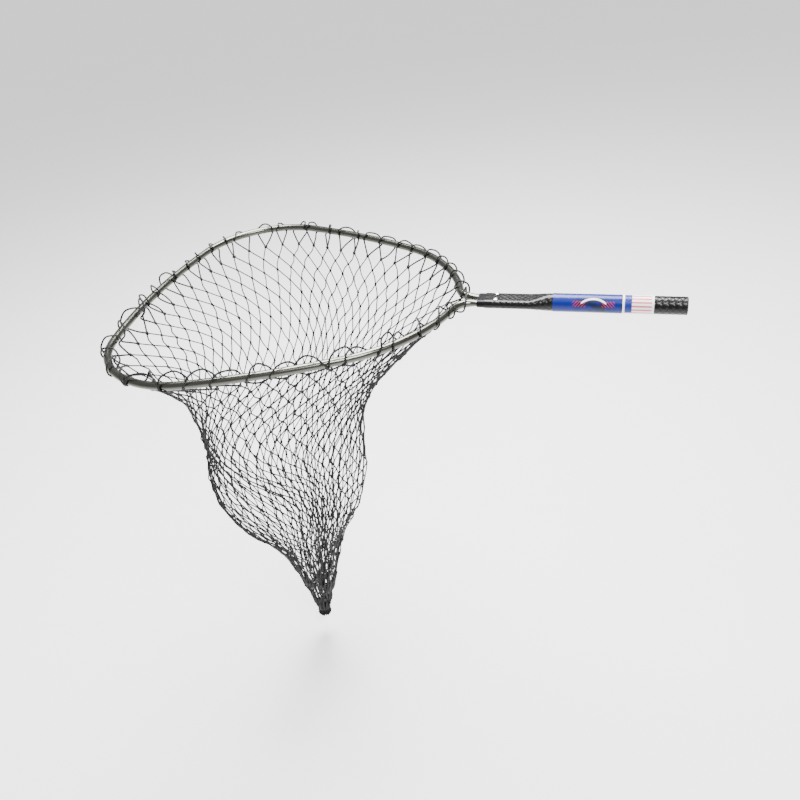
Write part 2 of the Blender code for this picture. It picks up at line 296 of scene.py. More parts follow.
class NodeTool:
    """A Geometry Nodes tree with named inputs, run on an object as a modifier."""

    def __init__(self, name: str, inputs: dict[str, str]) -> None:
        """Start the tree.

        Args:
            name: The tree's name.
            inputs: Each extra input's name and its socket type.
        """
        self.tree = bpy.data.node_groups.new(name, "GeometryNodeTree")
        face = self.tree.interface
        face.new_socket("Geometry", in_out="INPUT", socket_type="NodeSocketGeometry")
        for title, kind in inputs.items():
            face.new_socket(title, in_out="INPUT", socket_type=kind)
        face.new_socket("Geometry", in_out="OUTPUT", socket_type="NodeSocketGeometry")
        self.start = add_node(self.tree, "NodeGroupInput")
        self.end = add_node(self.tree, "NodeGroupOutput")

    def close(self, geometry: Socket) -> None:
        """End the tree with real geometry, smooth shading and the chosen material."""
        real = add_node(self.tree, "GeometryNodeRealizeInstances", inputs={"Geometry": geometry})
        smooth = add_node(self.tree, "GeometryNodeSetShadeSmooth",
                          inputs={"Geometry": real.outputs["Geometry"]})
        dressed = add_node(self.tree, "GeometryNodeSetMaterial", inputs={
            "Geometry": smooth.outputs["Geometry"],
            "Material": self.start.outputs["Material"]})
        self.tree.links.new(dressed.outputs["Geometry"], self.end.inputs["Geometry"])

    def run(self, piece: bpy.types.Object, **values) -> None:
        """Run the tree on a piece and keep the result as its plain mesh.

        Args:
            piece: The object to work on.
            values: A value for each named input, with _ for a space.
        """
        modifier = piece.modifiers.new(self.tree.name, "NODES")
        modifier.node_group = self.tree
        for item in self.tree.interface.items_tree:
            key = item.name.replace(" ", "_")
            if item.in_out == "INPUT" and key in values:
                modifier[item.identifier] = values[key]
        graph = bpy.context.evaluated_depsgraph_get()
        made = bpy.data.meshes.new_from_object(piece.evaluated_get(graph))
        before = piece.data
        piece.modifiers.clear()
        piece.data = made
        made.name = piece.name
        bpy.data.meshes.remove(before)


def strand_tool() -> NodeTool:
    """Lines of edges become round strands with a UV map: metres along, turns around."""
    tool = NodeTool("round strand", {
        "Sides": "NodeSocketInt", "Radius": "NodeSocketFloat", "Material": "NodeSocketMaterial"})
    tree, start = tool.tree, tool.start
    line = add_node(tree, "GeometryNodeMeshToCurve", inputs={"Mesh": start.outputs["Geometry"]})
    even = add_node(tree, "GeometryNodeSetCurveRadius",
                    inputs={"Curve": line.outputs["Curve"], "Radius": 1.0})
    measure = add_node(tree, "GeometryNodeSplineParameter")
    along = add_node(tree, "GeometryNodeCaptureAttribute")
    along.capture_items.new("FLOAT", "Along")
    tree.links.new(even.outputs["Curve"], along.inputs["Geometry"])
    tree.links.new(measure.outputs["Length"], along.inputs["Along"])
    circle = add_node(tree, "GeometryNodeCurvePrimitiveCircle", inputs={
        "Resolution": start.outputs["Sides"], "Radius": start.outputs["Radius"]})
    around = add_node(tree, "GeometryNodeCaptureAttribute")
    around.capture_items.new("FLOAT", "Around")
    tree.links.new(circle.outputs["Curve"], around.inputs["Geometry"])
    tree.links.new(measure.outputs["Factor"], around.inputs["Around"])
    skin = add_node(tree, "GeometryNodeCurveToMesh", inputs={
        "Curve": along.outputs["Geometry"], "Profile Curve": around.outputs["Geometry"],
        "Fill Caps": True})
    turn = around.outputs["Around"]
    face_mean = add_node(tree, "GeometryNodeFieldOnDomain",
                         {"data_type": "FLOAT", "domain": "FACE"}, {0: turn})
    late = add_node(tree, "FunctionNodeCompare",
                    {"data_type": "FLOAT", "operation": "GREATER_THAN"},
                    {0: face_mean.outputs[0], 1: 0.3})
    first = add_node(tree, "FunctionNodeCompare",
                     {"data_type": "FLOAT", "operation": "LESS_THAN"}, {0: turn, 1: 0.001})
    wraps = add_node(tree, "FunctionNodeBooleanMath", {"operation": "AND"},
                     {0: late.outputs[0], 1: first.outputs[0]})
    whole = add_node(tree, "ShaderNodeMath", {"operation": "ADD"},
                     {0: turn, 1: wraps.outputs[0]})
    pair = add_node(tree, "ShaderNodeCombineXYZ",
                    inputs={"X": along.outputs["Along"], "Y": whole.outputs[0]})
    mapped = add_node(tree, "GeometryNodeStoreNamedAttribute",
                      {"data_type": "FLOAT2", "domain": "CORNER"},
                      {"Geometry": skin.outputs["Mesh"], "Name": STRAND_UV,
                       "Value": pair.outputs[0]})
    tool.close(mapped.outputs["Geometry"])
    return tool


def copies_tool() -> NodeTool:
    """Points become copies of one shape, turned and sized by the points' attributes."""
    tool = NodeTool("copies on points", {
        "Shape": "NodeSocketObject", "Material": "NodeSocketMaterial"})
    tree, start = tool.tree, tool.start
    shape = add_node(tree, "GeometryNodeObjectInfo", inputs={"Object": start.outputs["Shape"]})
    turn = add_node(tree, "GeometryNodeInputNamedAttribute", {"data_type": "FLOAT_VECTOR"},
                    {"Name": "turn"})
    size = add_node(tree, "GeometryNodeInputNamedAttribute", {"data_type": "FLOAT"},
                    {"Name": "size"})
    copies = add_node(tree, "GeometryNodeInstanceOnPoints", inputs={
        "Points": start.outputs["Geometry"], "Instance": shape.outputs["Geometry"],
        "Rotation": turn.outputs["Attribute"], "Scale": size.outputs["Attribute"]})
    tool.close(copies.outputs["Instances"])
    return tool


def points_piece(name: str, places: np.ndarray, turns: np.ndarray,
                 sizes: np.ndarray) -> bpy.types.Object:
    """Make a points-only object that carries each copy's Euler turn and its size."""
    piece = mesh_piece(name, places, [], [])
    piece.data.attributes.new("turn", "FLOAT_VECTOR", "POINT").data.foreach_set(
        "vector", np.asarray(turns, float).ravel())
    piece.data.attributes.new("size", "FLOAT", "POINT").data.foreach_set(
        "value", np.asarray(sizes, float).ravel())
    return piece


# ---------------------------------------------------------------------------
# Finishes
# ---------------------------------------------------------------------------

@dataclass(frozen=True)
class Finish:
    """What every finish has: its maker's name, colour and gloss."""

    name: str
    colour: str
    roughness: float
    metallic: float = 0.0
    specular: float = 0.5

    def start(self) -> tuple:
        """Make the material with its plain constants.

        Returns:
            The material, its tree and its shader node.
        """
        made = bpy.data.materials.new(self.name)
        made.use_nodes = True
        shader = made.node_tree.nodes["Principled BSDF"]
        shader.inputs["Base Color"].default_value = linear(self.colour)
        shader.inputs["Roughness"].default_value = self.roughness
        shader.inputs["Metallic"].default_value = self.metallic
        shader.inputs["Specular IOR Level"].default_value = self.specular
        return made, made.node_tree, shader


@dataclass(frozen=True)
class DrawnMetal(Finish):
    """Tube pulled through a die: fine lines along it, dulled by handling and weather."""

    stain: str = "#8c8c84"
    line_spacing: float = 1.6
    line_length: float = 60.0
    line_depth: float = 0.03
    stain_size: float = 35.0
    girth: float = 50.0

    def material(self) -> bpy.types.Material:
        """Lines follow the strand's own UV map, stains follow Object coordinates."""
        made, tree, shader = self.start()
        strand = add_node(tree, "ShaderNodeUVMap", {"uv_map": STRAND_UV})
        stretch = add_node(tree, "ShaderNodeMapping", inputs={
            "Vector": strand.outputs["UV"],
            "Scale": (1.0 / (self.line_length * MM), self.girth / self.line_spacing, 1.0)})
        lines = add_node(tree, "ShaderNodeTexNoise", inputs={
            "Vector": stretch.outputs["Vector"], "Scale": 1.0, "Detail": 4.0})
        place = add_node(tree, "ShaderNodeTexCoord")
        stains = add_node(tree, "ShaderNodeTexNoise", inputs={
            "Vector": place.outputs["Object"], "Scale": 1.0 / (self.stain_size * MM),
            "Detail": 6.0, "Roughness": 0.65})
        fading = add_node(tree, "ShaderNodeMapRange", inputs={
            "Value": stains.outputs["Fac"], "From Min": 0.45, "From Max": 0.75,
            "To Min": 0.0, "To Max": 0.55})
        colour = add_node(tree, "ShaderNodeMix", {"data_type": "RGBA"}, {
            "Factor": fading.outputs["Result"], 6: linear(self.colour), 7: linear(self.stain)})
        gloss = add_node(tree, "ShaderNodeMapRange", inputs={
            "Value": lines.outputs["Fac"], "From Min": 0.3, "From Max": 0.7,
            "To Min": self.roughness - 0.07, "To Max": self.roughness + 0.12})
        relief = add_node(tree, "ShaderNodeBump", inputs={
            "Height": lines.outputs["Fac"], "Strength": 0.5, "Distance": self.line_depth * MM})
        tree.links.new(colour.outputs[2], shader.inputs["Base Color"])
        tree.links.new(gloss.outputs["Result"], shader.inputs["Roughness"])
        tree.links.new(relief.outputs["Normal"], shader.inputs["Normal"])
        return made


@dataclass(frozen=True)
class SmoothSkin(Finish):
    """Moulded or shrunk plastic, or small turned metal: faint waviness and handling marks."""

    worn: str = "#26262a"
    wave_size: float = 6.0
    wave_depth: float = 0.05
    grain_size: float = 0.6
    coat: float = 0.0

    def material(self) -> bpy.types.Material:
        """Waviness, fine grain and uneven gloss, all in Object coordinates."""
        made, tree, shader = self.start()
        place = add_node(tree, "ShaderNodeTexCoord")
        waves = add_node(tree, "ShaderNodeTexNoise", inputs={
            "Vector": place.outputs["Object"], "Scale": 1.0 / (self.wave_size * MM),
            "Detail": 3.0})
        grain = add_node(tree, "ShaderNodeTexNoise", inputs={
            "Vector": place.outputs["Object"], "Scale": 1.0 / (self.grain_size * MM),
            "Detail": 2.0})
        wear = add_node(tree, "ShaderNodeMapRange", inputs={
            "Value": waves.outputs["Fac"], "From Min": 0.5, "From Max": 0.8,
            "To Min": 0.0, "To Max": 0.6})
        colour = add_node(tree, "ShaderNodeMix", {"data_type": "RGBA"}, {
            "Factor": wear.outputs["Result"], 6: linear(self.colour), 7: linear(self.worn)})
        gloss = add_node(tree, "ShaderNodeMapRange", inputs={
            "Value": waves.outputs["Fac"], "From Min": 0.3, "From Max": 0.7,
            "To Min": self.roughness - 0.04, "To Max": self.roughness + 0.1})
        height = add_node(tree, "ShaderNodeMath", {"operation": "MULTIPLY_ADD"}, {
            0: grain.outputs["Fac"], 1: 0.15, 2: waves.outputs["Fac"]})
        relief = add_node(tree, "ShaderNodeBump", inputs={
            "Height": height.outputs[0], "Strength": 0.6, "Distance": self.wave_depth * MM})
        shader.inputs["Coat Weight"].default_value = self.coat
        shader.inputs["Coat Roughness"].default_value = 0.12
        tree.links.new(colour.outputs[2], shader.inputs["Base Color"])
        tree.links.new(gloss.outputs["Result"], shader.inputs["Roughness"])
        tree.links.new(relief.outputs["Normal"], shader.inputs["Normal"])
        return made


@dataclass(frozen=True)
class TwistedTwine(Finish):
    """Laid nylon: plies that wind round the strand; each ply's crest gets a small painted sheen, a
    lighter colour laid where dust lies.
    """

    # Colour painted on the ply crests: partly dust, partly a painted sheen.
    dust_and_sheen: str = "#2c2c30"
    plies: int = 3
    lay_length: float = 9.0
    ply_depth: float = 0.25
    dust_size: float = 14.0

    def material(self) -> bpy.types.Material:
        """The plies follow the strand's UV map. Dust follows Object coordinates."""
        made, tree, shader = self.start()
        strand = add_node(tree, "ShaderNodeUVMap", {"uv_map": STRAND_UV})
        split = add_node(tree, "ShaderNodeSeparateXYZ", inputs={"Vector": strand.outputs["UV"]})
        turns = add_node(tree, "ShaderNodeMath", {"operation": "MULTIPLY"}, {
            0: split.outputs["X"], 1: self.plies / (self.lay_length * MM)})
        wound = add_node(tree, "ShaderNodeMath", {"operation": "MULTIPLY_ADD"}, {
            0: split.outputs["Y"], 1: float(self.plies), 2: turns.outputs[0]})
        phase = add_node(tree, "ShaderNodeMath", {"operation": "MULTIPLY"}, {
            0: wound.outputs[0], 1: math.pi})
        wave = add_node(tree, "ShaderNodeMath", {"operation": "SINE"}, {0: phase.outputs[0]})
        ply = add_node(tree, "ShaderNodeMath", {"operation": "ABSOLUTE"}, {0: wave.outputs[0]})
        place = add_node(tree, "ShaderNodeTexCoord")
        dust = add_node(tree, "ShaderNodeTexNoise", inputs={
            "Vector": place.outputs["Object"], "Scale": 1.0 / (self.dust_size * MM), "Detail": 5.0})
        amount = add_node(tree, "ShaderNodeMapRange", inputs={
            "Value": dust.outputs["Fac"], "From Min": 0.45, "From Max": 0.75,
            "To Min": 0.0, "To Max": 0.7})
        # Painted sheen: the lighter dust colour goes only on the ply crests, so this mask is partly
        # dust and partly a painted highlight.
        lit = add_node(tree, "ShaderNodeMath", {"operation": "MULTIPLY"}, {
            0: amount.outputs["Result"], 1: ply.outputs[0]})
        colour = add_node(tree, "ShaderNodeMix", {"data_type": "RGBA"}, {
            "Factor": lit.outputs[0], 6: linear(self.colour), 7: linear(self.dust_and_sheen)})
        relief = add_node(tree, "ShaderNodeBump", inputs={
            "Height": ply.outputs[0], "Strength": 1.0, "Distance": self.ply_depth * MM})
        shader.inputs["Sheen Weight"].default_value = 0.03
        shader.inputs["Sheen Roughness"].default_value = 0.4
        tree.links.new(colour.outputs[2], shader.inputs["Base Color"])
        tree.links.new(relief.outputs["Normal"], shader.inputs["Normal"])
        return made


class Artwork(Enum):
    """The printed pattern of a label."""

    ARCHED_BAND = "arched band"
    STRIPES = "stripes"


@dataclass(frozen=True)
class PrintedFilm(Finish):
    """Glossy printed film on the sleeve. Its marks are generic bands and blocks of colour."""

    artwork: Artwork = Artwork.STRIPES
    dark: str = "#0a1230"
    accent: str = "#b3242e"
    paper: str = "#f1f0f2"
    wave_size: float = 5.0
    wave_depth: float = 0.06

    def material(self) -> bpy.types.Material:
        """Lay the print out on the film's UV map: share along in X, share around in Y."""
        made, tree, shader = self.start()
        uv = add_node(tree, "ShaderNodeUVMap", {"uv_map": "print"})
        split = add_node(tree, "ShaderNodeSeparateXYZ", inputs={"Vector": uv.outputs["UV"]})
        across, around = split.outputs["X"], split.outputs["Y"]
        if self.artwork is Artwork.ARCHED_BAND:
            printed = self.arched_band(tree, across, around)
        else:
            printed = self.stripes(tree, across, around)
        place = add_node(tree, "ShaderNodeTexCoord")
        waves = add_node(tree, "ShaderNodeTexNoise", inputs={
            "Vector": place.outputs["Object"], "Scale": 1.0 / (self.wave_size * MM), "Detail": 2.0})
        relief = add_node(tree, "ShaderNodeBump", inputs={
            "Height": waves.outputs["Fac"], "Strength": 0.35, "Distance": self.wave_depth * MM})
        gloss = add_node(tree, "ShaderNodeMapRange", inputs={
            "Value": waves.outputs["Fac"], "From Min": 0.3, "From Max": 0.7,
            "To Min": self.roughness, "To Max": self.roughness + 0.1})
        shader.inputs["Coat Weight"].default_value = 0.1
        shader.inputs["Coat Roughness"].default_value = 0.1
        tree.links.new(printed, shader.inputs["Base Color"])
        tree.links.new(gloss.outputs["Result"], shader.inputs["Roughness"])
        tree.links.new(relief.outputs["Normal"], shader.inputs["Normal"])
        return made

    def between(self, tree: bpy.types.NodeTree, value: Socket, low: float, high: float,
                soft: float = 0.01) -> Socket:
        """A mask that is 1 where value lies from low to high, with soft edges."""
        rise = add_node(tree, "ShaderNodeMapRange", {"interpolation_type": "SMOOTHSTEP"}, {
            "Value": value, "From Min": low - soft, "From Max": low + soft})
        fall = add_node(tree, "ShaderNodeMapRange", {"interpolation_type": "SMOOTHSTEP"}, {
            "Value": value, "From Min": high - soft, "From Max": high + soft,
            "To Min": 1.0, "To Max": 0.0})
        both = add_node(tree, "ShaderNodeMath", {"operation": "MULTIPLY"}, {
            0: rise.outputs["Result"], 1: fall.outputs["Result"]})
        return both.outputs[0]

    def laid_over(self, tree: bpy.types.NodeTree, mask: Socket, below: Socket | tuple,
                  colour: str) -> Socket:
        """Print one colour over what is below, where the mask is 1."""
        mixed = add_node(tree, "ShaderNodeMix", {"data_type": "RGBA"},
                         {"Factor": mask, 6: below, 7: linear(colour)})
        return mixed.outputs[2]

    def product(self, tree: bpy.types.NodeTree, *masks: Socket) -> Socket:
        """The masks multiplied together."""
        result = masks[0]
        for mask in masks[1:]:
            result = add_node(tree, "ShaderNodeMath", {"operation": "MULTIPLY"},
                              {0: result, 1: mask}).outputs[0]
        return result

    def arched_band(self, tree: bpy.types.NodeTree, across: Socket, around: Socket) -> Socket:
        """Blue film that darkens in clouds, with a pale arch between slanting strokes."""
        stretch = add_node(tree, "ShaderNodeCombineXYZ", inputs={"X": across, "Y": around})
        clouds = add_node(tree, "ShaderNodeTexNoise", inputs={
            "Vector": stretch.outputs[0], "Scale": 5.0, "Detail": 5.0, "Distortion": 0.8})
        shade = add_node(tree, "ShaderNodeMapRange", {"interpolation_type": "SMOOTHSTEP"}, {
            "Value": clouds.outputs["Fac"], "From Min": 0.3, "From Max": 0.5})
        print_area = self.product(tree, self.between(tree, across, 0.36, 0.84, 0.1),
                                  self.between(tree, around, 0.52, 0.9, 0.05))
        colour = self.laid_over(tree, self.product(tree, shade.outputs["Result"], print_area),
                                linear(self.colour), self.dark)
        off_centre = add_node(tree, "ShaderNodeMath", {"operation": "SUBTRACT"},
                              {0: across, 1: 0.6})
        squared = add_node(tree, "ShaderNodeMath", {"operation": "POWER"},
                           {0: off_centre.outputs[0], 1: 2.0})
        arched = add_node(tree, "ShaderNodeMath", {"operation": "MULTIPLY_ADD"},
                          {0: squared.outputs[0], 1: -2.4, 2: around})
        arch = self.product(tree, self.between(tree, arched.outputs[0], 0.5, 0.535, 0.005),
                            self.between(tree, across, 0.42, 0.78, 0.01))
        aside = add_node(tree, "ShaderNodeMath", {"operation": "ABSOLUTE"},
                         {0: off_centre.outputs[0]})
        slant = add_node(tree, "ShaderNodeMath", {"operation": "MULTIPLY_ADD"},
                         {0: around, 1: -0.8, 2: aside.outputs[0]})
        repeated = add_node(tree, "ShaderNodeMath", {"operation": "FRACT"}, {
            0: add_node(tree, "ShaderNodeMath", {"operation": "MULTIPLY"},
                        {0: slant.outputs[0], 1: 22.0}).outputs[0]})
        strokes = self.product(tree, self.between(tree, repeated.outputs[0], 0.2, 0.5, 0.06),
                               self.between(tree, aside.outputs[0], 0.12, 0.3, 0.02),
                               self.between(tree, around, 0.56, 0.66, 0.012))
        colour = self.laid_over(tree, strokes, colour, self.accent)
        return self.laid_over(tree, arch, colour, self.paper)

    def stripes(self, tree: bpy.types.NodeTree, across: Socket, around: Socket) -> Socket:
        """White film with a blue bar at its front end and pale red lines along the rest."""
        panel = self.product(tree, self.between(tree, across, 0.07, 0.93),
                             self.between(tree, around, 0.08, 0.92))
        repeated = add_node(tree, "ShaderNodeMath", {"operation": "FRACT"}, {
            0: add_node(tree, "ShaderNodeMath", {"operation": "MULTIPLY"},
                        {0: around, 1: 7.0}).outputs[0]})
        lines = self.product(tree, panel, self.between(tree, repeated.outputs[0], 0.1, 0.55, 0.05))
        colour = self.laid_over(tree, lines, linear(self.paper), self.accent)
        block = self.product(tree, self.between(tree, across, 0.07, 0.3),
                             self.between(tree, around, 0.08, 0.92))
        return self.laid_over(tree, block, colour, self.colour)


@dataclass(frozen=True)
class LitSheet(Finish):
    """A matt pale sheet that also glows a little, for the ground."""

    glow: float = 0.7
    cloud_size: float = 400.0

    def material(self) -> bpy.types.Material:
        """Very faint clouding over a constant glow."""
        made, tree, shader = self.start()
        place = add_node(tree, "ShaderNodeTexCoord")
        clouds = add_node(tree, "ShaderNodeTexNoise", inputs={
            "Vector": place.outputs["Object"], "Scale": 1.0 / (self.cloud_size * MM)})
        colour = add_node(tree, "ShaderNodeMix", {"data_type": "RGBA"}, {
            "Factor": clouds.outputs["Fac"], 6: linear(self.colour), 7: linear("#f2f2f2")})
        shader.inputs["Emission Color"].default_value = linear(self.colour)
        shader.inputs["Emission Strength"].default_value = self.glow
        tree.links.new(colour.outputs[2], shader.inputs["Base Color"])
        return made


@dataclass(frozen=True)
class Finishes:
    """Every finish of the net, named for the real material and how it was made."""

    # Bare 6061 tube: bright along its lit side, grey where it sees the floor.
    hoop: DrawnMetal = DrawnMetal("drawn aluminium tube", "#5e5e59", 0.2, 1.0, stain="#55554e")
    # Black anodising keeps the metal's gloss under a deep colour.
    handle: SmoothSkin = SmoothSkin("black anodised aluminium", "#17171a", 0.32, 0.85)
    # Shrink vinyl is drawn tight over a braid, so it shines on each lump.
    sleeve: SmoothSkin = SmoothSkin("heat shrunk vinyl sleeve", "#040405", 0.26,
                                    specular=0.3, worn="#08080a")
    cap: SmoothSkin = SmoothSkin("moulded vinyl cap", "#0e0e10", 0.48, grain_size=0.9)
    rivet: SmoothSkin = SmoothSkin("upset aluminium rivet", "#d8d8d4", 0.26, 1.0,
                                   worn="#a9a9a4", wave_size=2.0, wave_depth=0.03)
    mandrel: SmoothSkin = SmoothSkin("plated steel mandrel", "#8f9094", 0.36, 1.0,
                                     worn="#5e5c58", wave_size=1.0, wave_depth=0.03)
    # Tarred nylon is nearly black; its plies' crests are painted lighter where dust lies, partly
    # dust and partly a painted sheen.
    net: TwistedTwine = TwistedTwine("laid nylon netting twine", "#030303", 0.7,
                                     specular=0.3, dust_and_sheen="#1a1a1c")
    # The heavy twine's ply crests carry the same painted sheen, mixed with dust.
    loop: TwistedTwine = TwistedTwine("heavy laid nylon twine", "#030303", 0.6,
                                      specular=0.3, dust_and_sheen="#161618",
                                      lay_length=14.0, ply_depth=0.45)
    wrap: PrintedFilm = PrintedFilm("blue printed film", "#00176e", 0.3, specular=0.25,
                                    artwork=Artwork.ARCHED_BAND)
    striped: PrintedFilm = PrintedFilm("striped printed film", "#162878", 0.3, specular=0.25,
                                       artwork=Artwork.STRIPES, accent="#cf5a70")
    # Translucent white sheet with light under it, which keeps the ground pale.
    floor: LitSheet = LitSheet("backlit white sheet", "#f6f6f6", 0.9, specular=0.1)


# ---------------------------------------------------------------------------
# Hoop
# ---------------------------------------------------------------------------

@dataclass
class HoopTube:
    """The hoop: one tube bent flat, with its two legs pressed to fit in the handle."""

    front_edge: float
    radius: float = 7.95
    bends: tuple = ((40.0, -74.8), (322.0, 46.9), (1360.0, 12.2), (178.0, 96.0))
    leg_straight: float = 5.8
    leg_inserted: float = 75.0
    leg_half_spacing: float = 11.6
    leg_half_width: float = 8.2
    leg_half_height: float = 6.2
    leg_flattens_over: float = 20.0
    sides: int = 36
    step: float = 6.0

    def arc(self, x: float, y: float, heading: float, radius: float, angle: float) -> list:
        """Stations (x, y, heading) along an arc. A positive angle in degrees turns left."""
        length = radius * math.radians(abs(angle))
        steps = max(6, math.ceil(length / self.step))
        side = math.copysign(1.0, angle)
        centre_x = x - side * radius * math.sin(heading)
        centre_y = y + side * radius * math.cos(heading)
        turned = [heading + math.radians(angle) * k / steps for k in range(1, steps + 1)]
        return [(centre_x + side * radius * math.sin(h), centre_y - side * radius * math.cos(h), h)
                for h in turned]

    def half(self) -> tuple[list, int]:
        """Stations from the leg's end round the +Y side to the front bar's middle.

        Returns:
            The stations, and the index of the one where the neck's bend ends.
        """
        start = self.front_edge - self.leg_straight
        inner_end = self.front_edge + self.leg_inserted
        count = math.ceil((inner_end - start) / 4.0)
        stations = [(x, self.leg_half_spacing, math.pi)
                    for x in np.linspace(inner_end, start, count)]
        neck_end = 0
        for radius, angle in self.bends:
            stations += self.arc(*stations[-1], radius, angle)
            neck_end = neck_end or len(stations) - 1
        rest = 90.0 - sum(angle for _, angle in self.bends)
        radius = stations[-1][1] / math.sin(math.radians(rest))
        return stations + self.arc(*stations[-1], radius, rest), neck_end

    def centre_line(self) -> np.ndarray:
        """The whole tube's centre line, from one leg's end to the other's."""
        half = np.array([(x, y, 0.0) for x, y, _ in self.half()[0]])
        return np.vstack([half, half[-2::-1] * (1.0, -1.0, 1.0)])

    def mouth(self, count: int) -> np.ndarray:
        """The bag's mouth line: the hoop without its neck, walked in even steps from +X."""
        stations, neck_end = self.half()
        x, y, heading = stations[neck_end]
        rest = 90.0 - math.degrees(heading)
        closing_radius = y / math.sin(math.radians(-rest))
        closing = self.arc(x, y, heading + math.pi, closing_radius, rest)
        half = [(a, b) for a, b, _ in reversed(closing)]
        half += [(a, b) for a, b, _ in stations[neck_end:]]
        line = np.array(half + [(a, -b) for a, b in reversed(half[:-1])])
        walked = np.concatenate([[0.0], np.cumsum(np.hypot(*np.diff(line, axis=0).T))])
        at = np.arange(count) / count * walked[-1]
        return np.column_stack([np.interp(at, walked, line[:, k]) for k in (0, 1)])

    def build(self, strands: NodeTool, material: bpy.types.Material) -> None:
        """Sweep the tube, press its legs and dress it."""
        piece = chains_piece("hoop_tube", [self.centre_line()])
        strands.run(piece, Sides=self.sides, Radius=self.radius * MM, Material=material)
        mesh = piece.data
        places = np.empty(len(mesh.vertices) * 3)
        mesh.vertices.foreach_get("co", places)
        places = places.reshape(-1, 3) / MM
        begins = self.front_edge - 1.0 - self.leg_flattens_over
        pressed = smoothstep((places[:, 0] - begins) / self.leg_flattens_over)
        pressed = pressed * (np.abs(places[:, 1]) < 4.0 * self.leg_half_spacing)
        middle = np.copysign(self.leg_half_spacing, places[:, 1])
        wider = self.leg_half_width / self.radius - 1.0
        flatter = self.leg_half_height / self.radius - 1.0
        places[:, 1] += (places[:, 1] - middle) * wider * pressed
        places[:, 2] *= 1.0 + flatter * pressed
        mesh.vertices.foreach_set("co", (places * MM).ravel())
        mesh.update()
        mesh.set_sharp_from_angle(angle=math.radians(40.0))
        finish_piece(piece, material, "hoop_aluminium", "hoop")


# ---------------------------------------------------------------------------
# Handle
# ---------------------------------------------------------------------------

